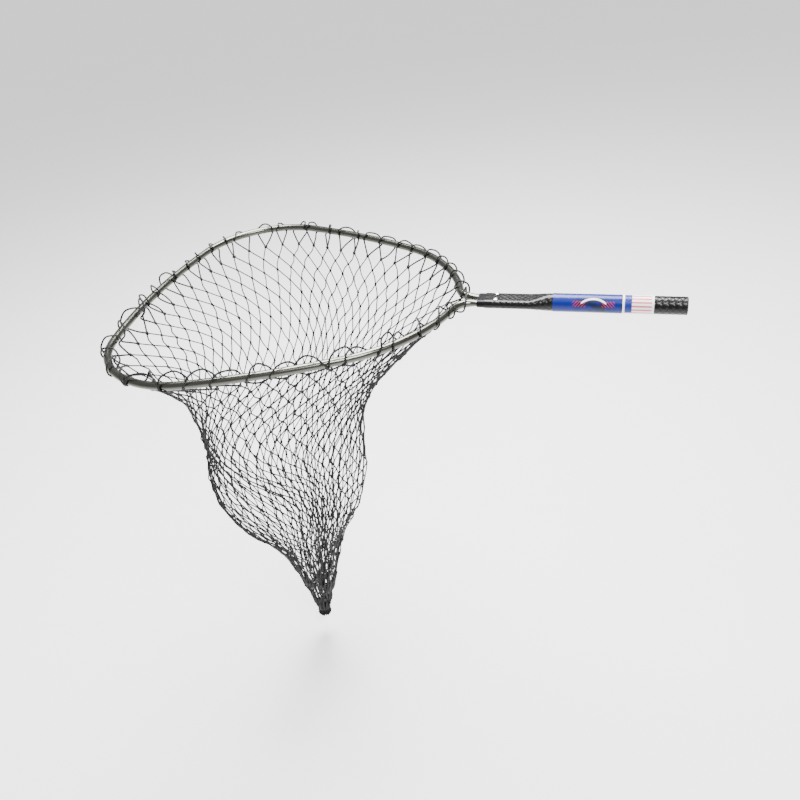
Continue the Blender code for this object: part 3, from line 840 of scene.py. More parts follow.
@dataclass
class Handle:
    """The handle's tube, its embossed sleeve, the rivets, the labels and the end cap."""

    front_edge: float
    length: float
    radius: float = 16.0
    wall: float = 1.1
    flat_half_width: float = 21.2
    flat_half_height: float = 7.6
    flat_length: float = 96.0
    round_from: float = 144.0
    sleeve_start: float = 14.0
    gap: float = 0.3
    sleeve_thickness: float = 0.8
    emboss_pitch: float = 11.5
    emboss_depth: float = 0.5
    emboss_starts: float = 12.0
    crossings: int = 9
    sides: int = 96
    ring_step: float = 1.15
    film_thickness: float = 0.25
    front_run: float = 24.0
    rear_from: float = 36.0
    mouth_bevel: float = 0.25
    tube_sides: int = 64
    bore_rings: int = 40
    emboss_roundness: float = 0.6
    emboss_fade: float = 6.0
    edge_rounding: float = 0.35
    edge_reach: float = 1.5
    film_step: float = 3.0
    film_edge_lift: float = 0.12
    film_ripple: float = 0.03
    lap_share: float = 0.1
    wrap_angles: tuple[float, float] = (-62.0, 298.0)
    wrap_lift: float = 0.3
    striped_angles: tuple[float, float] = (62.0, 228.0)
    striped_lift: float = 0.1
    rivet_head: float = 4.8
    rivet_shank: float = 2.4
    rivet_bulb: float = 3.4
    rivet_bore: float = 1.6
    rivet_flat: float = 0.3
    rivet_rim: float = 0.35
    plug_depth: float = 16.0
    plug_taper: float = 1.5
    cap_face: float = 14.0
    cap_lip: float = 0.7

    def section(self, along: float, grow: float, sides: int,
                relief: np.ndarray | None = None) -> np.ndarray:
        """The handle's section at a distance behind its front edge, as (x, y, z) rows.

        Args:
            along: The distance behind the front edge.
            grow: How far the section lies outside the tube's own.
            sides: The number of points.
            relief: A height for each point, or None for a smooth section.

        Returns:
            The ring of points.
        """
        into = float(smoothstep((along - self.flat_length) / (self.round_from - self.flat_length)))
        half_width = self.flat_half_width + into * (self.radius - self.flat_half_width) + grow
        half_height = self.flat_half_height + into * (self.radius - self.flat_half_height) + grow
        pairs, outward = even_oval(half_width, half_height, sides)
        if relief is not None:
            pairs = pairs + outward * relief[:, None]
        return np.column_stack([np.full(sides, self.front_edge + along), pairs])

    def tube(self, material: bpy.types.Material) -> None:
        """The bare tube, seen at the handle's mouth."""
        alongs = np.concatenate([np.linspace(0.0, self.front_run, 9),
                                 np.linspace(self.rear_from, self.length, 46)])
        outer = [self.section(along, 0.0 if along > 0.0 else -self.mouth_bevel, self.tube_sides)
                 for along in alongs]
        inner = [self.section(along, -self.wall, self.tube_sides) for along in alongs[::-1]]
        piece = loft("handle_tube_shell", outer + inner, closed=True)
        finish_piece(piece, material, "handle_metal", "handle_tube")

    def emboss(self, along: float) -> np.ndarray:
        """The relief of the braid under the sleeve, in millimetres, round one ring."""
        turns = (np.arange(self.sides) + 0.5) / self.sides
        run = 2.0 * math.pi * along / self.emboss_pitch / 2.0
        one = np.abs(np.sin(math.pi * self.crossings * turns + run))
        other = np.abs(np.sin(math.pi * self.crossings * turns - run))
        lumps = np.minimum(one, other) ** self.emboss_roundness
        fade = smoothstep((along - self.sleeve_start - self.emboss_starts) / self.emboss_fade)
        return -self.emboss_depth * (1.0 - lumps) * fade

    def sleeve(self, material: bpy.types.Material) -> None:
        """The shrink sleeve, with the braid's diamonds standing through it."""
        steps = math.ceil((self.length - self.sleeve_start) / self.ring_step)
        outer = []
        for along in np.linspace(self.sleeve_start, self.length, steps + 1):
            from_edge = (along - self.sleeve_start) / self.edge_reach
            edge = self.edge_rounding * (1.0 - smoothstep(from_edge))
            outer.append(self.section(along, self.gap + self.sleeve_thickness - edge,
                                      self.sides, self.emboss(along)))
        inner = [self.section(along, self.gap, self.sides)
                 for along in np.linspace(self.length, self.sleeve_start, self.bore_rings)]
        piece = loft("grip_sleeve_skin", outer + inner, closed=True, sharp=60.0)
        finish_piece(piece, material, "sleeve_vinyl", "grip_sleeve")

    def film(self, name: str, box: tuple, angles: tuple[float, float], wraps: bool,
             lift: float) -> bpy.types.Object:
        """A label's film, bent round the sleeve between two angles in degrees.

        Args:
            name: The piece's name.
            box: The CAD label's lowest and highest corners in metres.
            angles: Where the film starts and ends, from +Y towards +Z.
            wraps: True where the film meets itself and its two edges lap.
            lift: How far the last edge stands off in millimetres.

        Returns:
            The object, with its print's own UV map.
        """
        start, end = box[0][0] / MM, box[1][0] / MM
        inner_radius = self.radius + 2.0 * self.gap + self.sleeve_thickness
        steps_along = max(8, round((end - start) / self.film_step))
        steps_around = 96 if wraps else 60
        turns = np.radians(np.linspace(angles[0], angles[1], steps_around + 1))
        shares = np.linspace(0.0, 1.0, steps_around + 1)
        raised = lift * smoothstep((shares - (1.0 - self.lap_share)) / self.lap_share)
        vertices, faces, prints = [], [], []
        for layer in (self.film_thickness, 0.0):
            for step in range(steps_along + 1):
                share = step / steps_along
                corner = self.film_edge_lift * (1.0 - smoothstep(min(share, 1.0 - share) * 12.0))
                ripple = self.film_ripple * np.sin(shares * 23.0 + share * 9.0)
                reach = inner_radius + layer + raised + corner * (layer > 0.0) + ripple
                x = np.full(steps_around + 1, start + share * (end - start))
                vertices.append(np.column_stack([x, reach * np.cos(turns), reach * np.sin(turns)]))
                prints += [(share, part) for part in shares]
        wide = steps_around + 1
        layer_size = wide * (steps_along + 1)
        for row in range(steps_along):
            for side in range(steps_around):
                a = row * wide + side
                quad = (a, a + 1, a + wide + 1, a + wide)
                faces.append(quad)
                faces.append(tuple(index + layer_size for index in reversed(quad)))
        rim = [side for side in range(wide)]
        rim += [row * wide + wide - 1 for row in range(1, steps_along + 1)]
        rim += [steps_along * wide + side for side in range(wide - 2, -1, -1)]
        rim += [row * wide for row in range(steps_along - 1, 0, -1)]
        for a, b in zip(rim, rim[1:] + rim[:1]):
            faces.append((b, a, a + layer_size, b + layer_size))
        piece = mesh_piece(name, np.vstack(vertices), [], faces)
        mesh = piece.data
        if signed_volume(mesh) < 0.0:
            mesh.flip_normals()
        uv = mesh.uv_layers.new(name="print")
        for loop in mesh.loops:
            uv.data[loop.index].uv = prints[loop.vertex_index]
        mesh.shade_smooth()
        mesh.set_sharp_from_angle(angle=math.radians(50.0))
        return piece

    def labels(self, wrap: bpy.types.Material, striped: bpy.types.Material) -> None:
        """The blue film that goes right round, and the striped patch behind it."""
        piece = self.film("wrap_film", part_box("wrap_label"), self.wrap_angles, True,
                          self.wrap_lift)
        finish_piece(piece, wrap, "label_blue", "wrap_label")
        piece = self.film("striped_film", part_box("striped_label"), self.striped_angles, False,
                          self.striped_lift)
        finish_piece(piece, striped, "label_striped", "striped_label")

    def rivets(self, copies: NodeTool, material: bpy.types.Material) -> None:
        """Both blind rivets: a domed head with a rolled edge, a shank and its upset end."""
        low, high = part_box("rivet_near")
        seat = self.flat_half_height + 2.0 * self.gap + self.sleeve_thickness
        crown, end = high[2] / MM - seat, low[2] / MM - seat
        head, bore = self.rivet_head, self.rivet_bore
        shank, bulb = self.rivet_shank, self.rivet_bulb
        flat, rim = self.rivet_flat, self.rivet_rim
        dome = [(bore, crown - 0.15)]
        for step in range(9):
            angle = math.radians(90.0 * step / 8)
            dome.append((bore + flat + (head - bore - flat) * math.sin(angle),
                         rim + (crown - rim) * math.cos(angle)))
        profile = dome + [(head, 0.1), (head - 0.15, 0.0), (shank, 0.0), (shank, end + 2.4),
                          (bulb, end + 1.6), (bulb, end + 0.6), (shank, end), (bore, end)]
        shape = lathe("rivet_shape", profile, "Z", (0.0, 0.0), 40)
        places = []
        for node in ("rivet_near", "rivet_far"):
            corner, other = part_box(node)
            places.append(((corner[0] + other[0]) / 2 / MM, (corner[1] + other[1]) / 2 / MM, seat))
        piece = points_piece("rivet_pair", np.array(places), np.zeros((2, 3)), np.ones(2))
        copies.run(piece, Shape=shape, Material=material)
        bpy.data.objects.remove(shape)
        piece.data.set_sharp_from_angle(angle=math.radians(50.0))
        finish_piece(piece, material, "rivet_aluminium", "rivet_near", "rivet_far")

    def end_cap(self, material: bpy.types.Material) -> None:
        """The vinyl plug in the tube's rear end, with a rounded flange."""
        rear = self.front_edge + self.length
        plug = self.radius - self.wall - self.gap
        outer = self.radius + self.gap + self.sleeve_thickness
        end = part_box("end_cap")[1][0] / MM
        flange = end - rear
        face, lip = self.cap_face, rear + self.cap_lip
        profile = [(plug - self.plug_taper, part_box("end_cap")[0][0] / MM),
                   (plug, rear - self.plug_depth), (plug, rear + self.gap),
                   (outer - 0.3, rear + self.gap), (outer, lip)]
        for step in range(1, 7):
            angle = math.radians(90.0 * step / 6)
            profile.append((face + (outer - face) * math.cos(angle) ** 0.8,
                            lip + (flange - self.cap_lip) * math.sin(angle)))
        # The rear face is dished a little inside its edge.
        profile += [(face - 1.0, end), (face - 1.6, end - 0.4), (5.0, end - 0.5)]
        piece = lathe("end_cap_plug", profile, "X", (0.0, 0.0), 72)
        finish_piece(piece, material, "cap_vinyl", "end_cap")


# ---------------------------------------------------------------------------
# Netting
# ---------------------------------------------------------------------------

@dataclass
class BagShape:
    """Where the netting hangs: mouth line, levels of the funnel and its deep folds."""

    hoop: HoopTube
    front_bar: float
    mouth_inset: float
    mouth_depth: float
    tail: tuple[float, float]
    tail_depth: float = 930.0
    # Depth, centre from the front bar and to the side, reach to the front bar, to the
    # handle, to the near side and to the far side, roundness.
    levels: tuple = (
        (100.0, 300.0, 0.0, 232.0, 276.0, 290.0, 302.0, 0.15),
        (170.0, 292.0, -8.0, 207.0, 204.0, 240.0, 258.0, 0.4),
        (250.0, 272.0, -22.0, 206.0, 176.0, 220.0, 222.0, 0.65),
        (330.0, 262.0, -46.0, 229.0, 164.0, 212.0, 198.0, 0.85),
        (400.0, 256.0, -70.0, 209.0, 195.0, 198.0, 182.0, 1.0),
        (490.0, 248.0, -98.0, 231.0, 199.0, 164.0, 150.0, 1.0),
        (532.0, 252.0, -95.0, 177.0, 154.0, 132.0, 120.0, 1.0),
        (575.0, 258.0, -88.0, 40.0, 122.0, 92.0, 90.0, 1.0),
        (660.0, 262.0, -77.0, 36.0, 81.0, 60.0, 58.0, 1.0),
        (760.0, 258.0, -68.0, 48.0, 61.0, 44.0, 42.0, 1.0),
        (845.0, 252.0, -58.0, 26.0, 37.0, 28.0, 28.0, 1.0),
        (880.0, 250.0, -52.0, 14.0, 28.0, 16.0, 16.0, 1.0),
        (930.0, 250.0, -50.0, 14.0, 14.0, 14.0, 14.0, 1.0),
    )
    # Where meshes crowd together: direction in degrees, narrowness, the depths where it
    # starts, is full and ends, and how much denser the netting is there.
    crowds: tuple = (
        (84.0, 5.0, 30.0, 300.0, 760.0, 1.5),
        (322.0, 30.0, 260.0, 400.0, 820.0, 2.4),
    )
    # Each fold: direction in degrees, first and last depth, share pulled in, half width.
    folds: tuple = (
        (322.0, 240.0, 800.0, 0.22, 8.0),
        (348.0, 300.0, 760.0, 0.08, 8.0),
        (262.0, 420.0, 800.0, 0.10, 8.0),
        (205.0, 400.0, 760.0, 0.08, 9.0),
    )
    fold_fade: float = 90.0
    # Low down the meshes gather into bundles: their directions, then the depths where
    # that starts and is full, and how much denser they are than the netting between.
    bundles: tuple = (10.0, 58.0, 92.0, 133.0, 171.0, 214.0, 252.0, 290.0, 331.0)
    bundling: tuple[float, float, float] = (600.0, 860.0, 5.0)
    bundle_narrowness: float = 45.0
    # The bag hangs turned: the depths between which it turns, and by how many meshes.
    twist: tuple[float, float, float] = (200.0, 660.0, 3.0)
    around: int = 720

    def mouth_ring(self, count: int, phase: float) -> np.ndarray:
        """The first knots, under the hoop and moved in from it."""
        line = self.hoop.mouth(2 * count)[round(2 * phase)::2][:count]
        centre = np.array([line[:, 0].mean(), 0.0])
        arm = line - centre
        reach = np.hypot(*arm.T)[:, None]
        line = centre + arm * (reach - self.mouth_inset) / reach
        return np.column_stack([line, np.full(count, -self.mouth_depth)])

    def unit_mouth(self) -> np.ndarray:
        """The hoop's own outline scaled to reach 1 on each side, by direction."""
        line = self.hoop.mouth(self.around) - (self.front_bar + self.levels[0][1], 0.0)
        line[:, 0] /= np.where(line[:, 0] < 0.0, -line[:, 0].min(), line[:, 0].max())
        line[:, 1] /= np.abs(line[:, 1]).max()
        angles = np.unwrap(np.arctan2(line[:, 1], line[:, 0]))
        wanted = np.linspace(0.0, 2.0 * math.pi, self.around, endpoint=False)
        return np.column_stack([
            np.interp(wanted, angles, line[:, k], period=2.0 * math.pi) for k in (0, 1)])

    def level_ring(self, depth: float, phase: float, count: int) -> np.ndarray:
        """Evenly spread meshes round the funnel at one depth, in and out of its folds."""
        table = np.array(self.levels)
        row = [np.interp(depth, table[:, 0], table[:, k]) for k in range(1, table.shape[1])]
        centre_x, centre_y, front, back, near, far, roundness = row
        turns = np.linspace(0.0, 2.0 * math.pi, self.around, endpoint=False)
        round_unit = np.column_stack([np.cos(turns), np.sin(turns)])
        unit = (1.0 - roundness) * self.unit_mouth() + roundness * round_unit
        pulled = np.ones(self.around)
        for direction, first, last, amount, width in self.folds:
            weight = smoothstep(min(depth - first, last - depth) / self.fold_fade)
            off = (turns - math.radians(direction) + math.pi) % (2.0 * math.pi) - math.pi
            pulled -= weight * amount * np.exp(-(off / math.radians(width)) ** 2)
        unit = unit * pulled[:, None]
        x = self.front_bar + centre_x + np.where(unit[:, 0] < 0.0, front, back) * unit[:, 0]
        y = centre_y + np.where(unit[:, 1] < 0.0, near, far) * unit[:, 1]
        steps = np.hypot(np.roll(x, -1) - x, np.roll(y, -1) - y)
        density = np.ones(self.around)
        for direction, narrowness, first, full, last, amount in self.crowds:
            weight = smoothstep((depth - first) / (full - first))
            weight = weight * smoothstep((last - depth) / self.fold_fade)
            away = 1.0 - np.cos(turns - math.radians(direction))
            density += weight * amount * np.exp(-narrowness * away)
        first, full, amount = self.bundling
        weight = smoothstep((depth - first) / (full - first))
        for direction in self.bundles:
            away = 1.0 - np.cos(turns - math.radians(direction))
            density += weight * amount * np.exp(-self.bundle_narrowness * away)
        steps = steps * density
        walked = np.concatenate([[0.0], np.cumsum(steps)])
        first, last, meshes = self.twist
        turned = phase + meshes * smoothstep((depth - first) / (last - first))
        at = (np.arange(count) + turned) / count % 1.0 * walked[-1]
        ring = [np.interp(at, walked, np.append(line, line[0])) for line in (x, y)]
        return np.column_stack([*ring, np.full(count, -depth)])


@dataclass
class Netting:
    """Knotted diamond netting that is relaxed until each bar has its real length."""

    shape: BagShape
    meshes: int = 48
    rows: int = 29
    bar: float = 38.0
    twine_radius: float = 1.4
    knot_radius: float = 3.2
    relax_steps: int = 110
    passes: int = 10
    pull: float = 0.05
    hold_top: float = 0.3
    hold_low: float = 0.5
    squeeze: float = 0.08
    slack: float = 0.012
    unevenness: float = 1.5
    ripple: float = 2.5
    time_step: float = 1.0 / 60.0
    damping: float = 0.94
    swing: float = -0.09
    level_smoothing: int = 7
    evening: int = 3
    evening_share: float = 0.4
    bow: float = 0.4
    least_row_share: float = 0.45
    first_gap: float = 16.0
    level_step: float = 14.0
    row_passes: int = 4
    roughness_top: float = 0.3
    roughness_gain: float = 1.2
    knot_sizes: tuple[float, float] = (0.88, 1.15)
    # Each ripple's height, waves round the bag, turn on its way down and start.
    ripples: tuple = ((1.0, 5, 9.0, 0.0), (0.7, 9, -14.0, 1.0))
    seed: int = 5
    places: np.ndarray = field(init=False, repr=False)

    def lattice(self) -> np.ndarray:
        """Lay the knots on the funnel, each row a half mesh round from the one above.

        Returns:
            A (rows + 1, meshes, 3) array of knot places.
        """
        first, last = self.shape.levels[0][0], self.shape.tail_depth
        between = np.arange(first + self.first_gap, last, self.level_step)
        depths = np.concatenate([[first], between, [last]])
        knots = np.zeros((self.rows + 1, self.meshes, 3))
        for phase in (0.0, 0.5):
            rings = [self.shape.mouth_ring(self.meshes, phase)]
            rings += [self.shape.level_ring(depth, phase, self.meshes) for depth in depths]
            lines = np.array(rings)
            for _ in range(self.level_smoothing):
                lines[1:-1] = 0.25 * lines[:-2] + 0.5 * lines[1:-1] + 0.25 * lines[2:]
            laid = self.rows_on(lines)
            knots[round(2 * phase)::2] = laid[round(2 * phase)::2]
        return knots

    def rows_on(self, lines: np.ndarray) -> np.ndarray:
        """Space the rows down each line by the height that a mesh of that width has."""
        lengths = np.linalg.norm(np.diff(lines, axis=0), axis=2)
        walked = np.vstack([np.zeros(self.meshes), np.cumsum(lengths, axis=0)])
        share = np.ones((self.rows, self.meshes))
        for _ in range(self.row_passes):
            at = np.vstack([np.zeros(self.meshes), np.cumsum(share, axis=0)]) / share.sum(axis=0)
            laid = np.zeros((self.rows + 1, self.meshes, 3))
            for mesh in range(self.meshes):
                target = at[:, mesh] * walked[-1, mesh]
                for axis in range(3):
                    laid[:, mesh, axis] = np.interp(target, walked[:, mesh], lines[:, mesh, axis])
            widths = np.linalg.norm(np.roll(laid, -1, axis=1) - laid, axis=2)
            half = 0.25 * (widths[1:] + widths[:-1])
            least = self.least_row_share * self.bar
            share = np.sqrt(np.maximum(self.bar ** 2 - half ** 2, least ** 2))
        return laid

    def bars(self) -> list[tuple[np.ndarray, np.ndarray]]:
        """The bars as four sets of knot pairs, where no knot comes twice in a set."""
        sets = []
        mesh = np.arange(self.meshes)
        for parity in (0, 1):
            for step in ((0, -1), (0, 1))[parity]:
                upper = [row * self.meshes + mesh for row in range(parity, self.rows, 2)]
                lower = [(row + 1) * self.meshes + (mesh + step) % self.meshes
                         for row in range(parity, self.rows, 2)]
                sets.append((np.concatenate(upper), np.concatenate(lower)))
        return sets

    def relax(self) -> np.ndarray:
        """Let the netting hang while every bar is pulled to its length.

        Returns:
            The knots' places, also kept in places.
        """
        random = np.random.default_rng(self.seed)
        target = self.lattice().reshape(-1, 3)
        row = np.repeat(np.arange(self.rows + 1), self.meshes) / self.rows
        column = np.tile(np.arange(self.meshes), self.rows + 1) / self.meshes * 2.0 * math.pi
        free = ((row > 0.0) & (row < 1.0)).astype(float)
        body = np.sin(math.pi * row) ** 0.5
        wave = sum(height * np.sin(waves * column + turn * row + start)
                   for height, waves, turn, start in self.ripples)
        outward = target - np.array([self.shape.tail[0], self.shape.tail[1], 0.0])
        outward[:, 2] = 0.0
        outward /= np.maximum(np.linalg.norm(outward, axis=1), 1.0)[:, None]
        target = target + outward * (self.ripple * wave * body * free)[:, None]
        knots = target.copy()
        hold = (self.hold_top + (self.hold_low - self.hold_top) * row)[:, None] * free[:, None]
        speed = np.zeros_like(knots)
        tick = self.time_step
        weight = np.array([self.swing, 0.0, -1.0]) * GRAVITY * self.pull * tick
        sets = self.bars()
        rests = [self.bar * (1.0 + random.normal(0.0, self.slack, len(upper)))
                 for upper, _ in sets]
        for _ in range(self.relax_steps):
            speed = (speed + weight) * self.damping
            moved = knots + speed * tick * free[:, None]
            moved += (target - moved) * hold
            for _ in range(self.passes):
                for (upper, lower), rest in zip(sets, rests):
                    arm = moved[lower] - moved[upper]
                    length = np.linalg.norm(arm, axis=1) + 1e-9
                    shared = np.maximum(free[upper] + free[lower], 1.0)
                    excess = (length - rest) / length
                    excess = np.where(length < rest, self.squeeze * excess, excess)
                    step = arm * (excess / shared)[:, None]
                    moved[upper] += step * free[upper][:, None]
                    moved[lower] -= step * free[lower][:, None]
            speed = (moved - knots) / tick
            knots = moved
        for _ in range(self.evening):
            pulled, shares = np.zeros_like(knots), np.zeros((len(knots), 1))
            for upper, lower in sets:
                np.add.at(pulled, upper, knots[lower])
                np.add.at(pulled, lower, knots[upper])
                np.add.at(shares, upper, 1.0)
                np.add.at(shares, lower, 1.0)
            knots = knots + self.evening_share * (pulled / shares - knots) * free[:, None]
        rough = random.normal(0.0, self.unevenness, knots.shape)
        knots = knots + rough * (free * (self.roughness_top + self.roughness_gain * row))[:, None]
        lengths = np.concatenate([np.linalg.norm(knots[b] - knots[a], axis=1) for a, b in sets])
        log.info("bars: mean %.1f mm, 5%% %.1f, 95%% %.1f", lengths.mean(),
                 *np.percentile(lengths, [5, 95]))
        self.places = knots.reshape(self.rows + 1, self.meshes, 3)
        return self.places

    def strand(self, start: int, leans_right: bool, random: np.random.Generator) -> np.ndarray:
        """One run of twine down the netting, with slack bars bowed between their knots.

        Args:
            start: The mesh at the mouth where the run starts.
            leans_right: Whether the run goes round to the right on its way down.
            random: The source of each bow's direction.

        Returns:
            The run's knots with a point between each two.
        """
        rows = np.arange(self.rows + 1)
        mesh = start + rows // 2 if leans_right else start - (rows + 1) // 2
        knots = self.places[rows, mesh % self.meshes]
        bars = np.diff(knots, axis=0)
        length = np.linalg.norm(bars, axis=1, keepdims=True)
        spare = np.maximum(self.bar - length, 0.0)
        side = np.cross(bars, random.normal(size=bars.shape))
        side /= np.maximum(np.linalg.norm(side, axis=1, keepdims=True), 1e-9)
        path = np.empty((2 * len(knots) - 1, 3))
        path[::2] = knots
        # A shallow arc rises by the root of 3/8 of its chord times its spare length.
        rise = np.sqrt(3.0 / 8.0 * length * spare)
        path[1::2] = knots[:-1] + 0.5 * bars + side * self.bow * rise
        return path

    def knot_turns(self, random: np.random.Generator) -> np.ndarray:
        """Euler turns that lay each knot's flat side on the netting, spun at random."""
        down = np.gradient(self.places, axis=0)
        across = np.roll(self.places, -1, axis=1) - np.roll(self.places, 1, axis=1)
        facing = np.cross(down, across).reshape(-1, 3)
        spins = random.uniform(0.0, 2.0 * math.pi, len(facing))
        turns = []
        for normal, spin in zip(facing, spins):
            upright = Vector(normal).to_track_quat("Z", "Y")
            turns.append((upright @ Quaternion((0.0, 0.0, 1.0), spin)).to_euler())
        return np.array(turns)

    def build(self, strands: NodeTool, copies: NodeTool, material: bpy.types.Material) -> None:
        """Make both runs of twine and the knots."""
        random = np.random.default_rng(self.seed + 1)
        for leans_right, name in ((True, "net_twine_right"), (False, "net_twine_left")):
            chains = [smooth_chain(self.strand(mesh, leans_right, random), 2)
                      for mesh in range(self.meshes)]
            piece = chains_piece(name, chains)
            strands.run(piece, Sides=6, Radius=self.twine_radius * MM, Material=material)
            finish_piece(piece, material, "net_twine", *(("net_bag",) if leans_right else ()))
        shape = knot_shape(strands, material, self.knot_radius, self.twine_radius)
        count = self.places[:-1].size // 3
        sizes = random.uniform(*self.knot_sizes, (self.rows + 1) * self.meshes)
        turns = self.knot_turns(random)
        first = self.meshes
        piece = points_piece("net_knots", self.places.reshape(-1, 3)[first:count],
                             turns[first:count], sizes[first:count])
        copies.run(piece, Shape=shape, Material=material)
        bpy.data.objects.remove(shape)
        finish_piece(piece, material, "net_twine")


def knot_shape(strands: NodeTool, material: bpy.types.Material, radius: float,
               twine: float) -> bpy.types.Object:
    """A pulled-tight knot: a strand that winds three times through itself."""
    # A trefoil, slightly flattened. Its strand runs 1 to 3 units from the middle.
    points, units, bunched = 15, 2.6, 1.1
    turns = np.linspace(0.0, 2.0 * math.pi, points, endpoint=False)
    path = np.column_stack([np.sin(turns) + 2.0 * np.sin(2.0 * turns),
                            np.cos(turns) - 2.0 * np.cos(2.0 * turns),
                            -0.9 * np.sin(3.0 * turns)])
    piece = chains_piece("knot_shape", [path * (radius - twine) / units], closed=True)
    strands.run(piece, Sides=4, Radius=twine * bunched * MM, Material=material)
    return piece


@dataclass
class RimLoops:
    """Heavy twine that hangs the netting: one lazy turn round the hoop for each mesh."""

    netting: Netting
    hoop: HoopTube
    twine_radius: float = 1.8
    clearance: float = 0.3
    spread: tuple[float, float] = (14.0, 46.0)
    near_spread: tuple[float, float] = (38.0, 66.0)
    bulge: tuple[float, float] = (6.0, 17.0)
    far_bulge: tuple[float, float] = (1.5, 7.0)
    travel_angle: float = 150.0
    travel_share: float = 0.7
    bulge_angle: float = 1.25
    near_from: float = -80.0
    far_from: float = 60.0
    near_lean: tuple[float, float] = (40.0, 75.0)
    lean: tuple[float, float] = (115.0, 165.0)
    same_hand: float = 0.8
    drift: float = 0.3
    sag: float = 3.0
    looseness: float = 1.2
    mouth_steps: int = 2400
    knot_sizes: tuple[float, float] = (0.9, 1.15)
    # Degrees round the tube, from the netting side over the top and back under it.
    stations: tuple = (-38.0, 8.0, 50.0, 95.0, 140.0, 185.0, 232.0, 284.0)
    knot_radius: float = 4.2
    seed: int = 23

    def tube_at(self, place: np.ndarray, line: np.ndarray) -> tuple[np.ndarray, np.ndarray]:
        """The tube's centre nearest a place, and the outward direction there."""
        index = int(np.argmin(np.linalg.norm(line - place, axis=1)))
        index = min(max(index, 1), len(line) - 2)
        tangent = line[index + 1] - line[index - 1]
        tangent /= np.linalg.norm(tangent)
        outward = np.array([tangent[1], -tangent[0], 0.0])
        middle = np.array([line[:, 0].mean(), 0.0, 0.0])
        if outward @ (line[index] - middle) < 0.0:
            outward = -outward
        return line[index], outward

    def turn(self, knot: np.ndarray, centre: float, fine: np.ndarray, line: np.ndarray,
             random: np.random.Generator) -> np.ndarray:
        """One loop's points: up from its knot, round the tube and back down.

        Args:
            knot: The knot that the loop hangs from the tube.
            centre: The loop's place along the mouth line, as a share of it.
            fine: The mouth line in small steps.
            line: The tube's centre line.
            random: The source of the loop's own slackness.

        Returns:
            The loop's chain of points.
        """
        perimeter = np.hypot(*np.diff(np.vstack([fine, fine[:1]]), axis=0).T).sum()
        near_side = knot[1] < self.near_from
        far_side = knot[1] > self.far_from
        spread = random.uniform(*(self.near_spread if near_side else self.spread)) / perimeter
        slack = random.uniform(*(self.far_bulge if far_side else self.bulge))
        hand = 1.0 if random.random() < self.same_hand else -1.0
        drift = random.uniform(-self.drift, self.drift) * spread
        lean = math.radians(random.uniform(*(self.near_lean if near_side else self.lean)))
        angles = np.radians(np.array(self.stations))
        reach = self.hoop.radius + self.twine_radius + self.clearance
        chain = [knot]
        for step, angle in enumerate(angles):
            # Most of the way along the tube is covered where the loop stands off it.
            travel = smoothstep((angle - lean) / math.radians(self.travel_angle) + 0.5)
            steady = (1.0 - self.travel_share) * step / (len(angles) - 1)
            travel = self.travel_share * travel + steady
            share = centre + drift + hand * spread * (0.5 - travel)
            place = fine[int(round(share * len(fine))) % len(fine)]
            middle, outward = self.tube_at(np.array([*place, 0.0]), line)
            off = (angle - lean + math.pi) % (2.0 * math.pi) - math.pi
            stands = slack * math.exp(-(off / self.bulge_angle) ** 2)
            around = -outward * math.cos(angle) + np.array([0.0, 0.0, math.sin(angle)])
            chain.append(middle + around * (reach + stands))
        chain.append(knot)
        chain = np.array(chain)
        sag = random.uniform(0.0, self.sag)
        rise = 0.5 * (chain[0] + chain[1]) + (0.0, 0.0, -sag)
        fall = 0.5 * (chain[-2] + chain[-1]) + random.normal(0.0, self.looseness, 3)
        return np.vstack([chain[:1], rise, chain[1:-1], fall, chain[-1:]])

    def build(self, strands: NodeTool, copies: NodeTool, material: bpy.types.Material) -> None:
        """Make all the loops, and the large knots that end them."""
        random = np.random.default_rng(self.seed)
        fine = self.hoop.mouth(self.mouth_steps)
        line = self.hoop.centre_line()
        mouth = self.netting.places[0]
        chains = []
        for mesh, knot in enumerate(mouth):
            points = self.turn(knot, mesh / len(mouth), fine, line, random)
            chains.append(smooth_chain(points, 4))
        piece = chains_piece("rim_twine", chains)
        strands.run(piece, Sides=8, Radius=self.twine_radius * MM, Material=material)
        finish_piece(piece, material, "heavy_twine", "rim_loops")
        shape = knot_shape(strands, material, self.knot_radius, self.twine_radius)
        turns = self.netting.knot_turns(random)[:len(mouth)]
        sizes = random.uniform(*self.knot_sizes, len(mouth))
        piece = points_piece("rim_knots", mouth, turns, sizes)
        copies.run(piece, Shape=shape, Material=material)
        bpy.data.objects.remove(shape)
        finish_piece(piece, material, "heavy_twine")


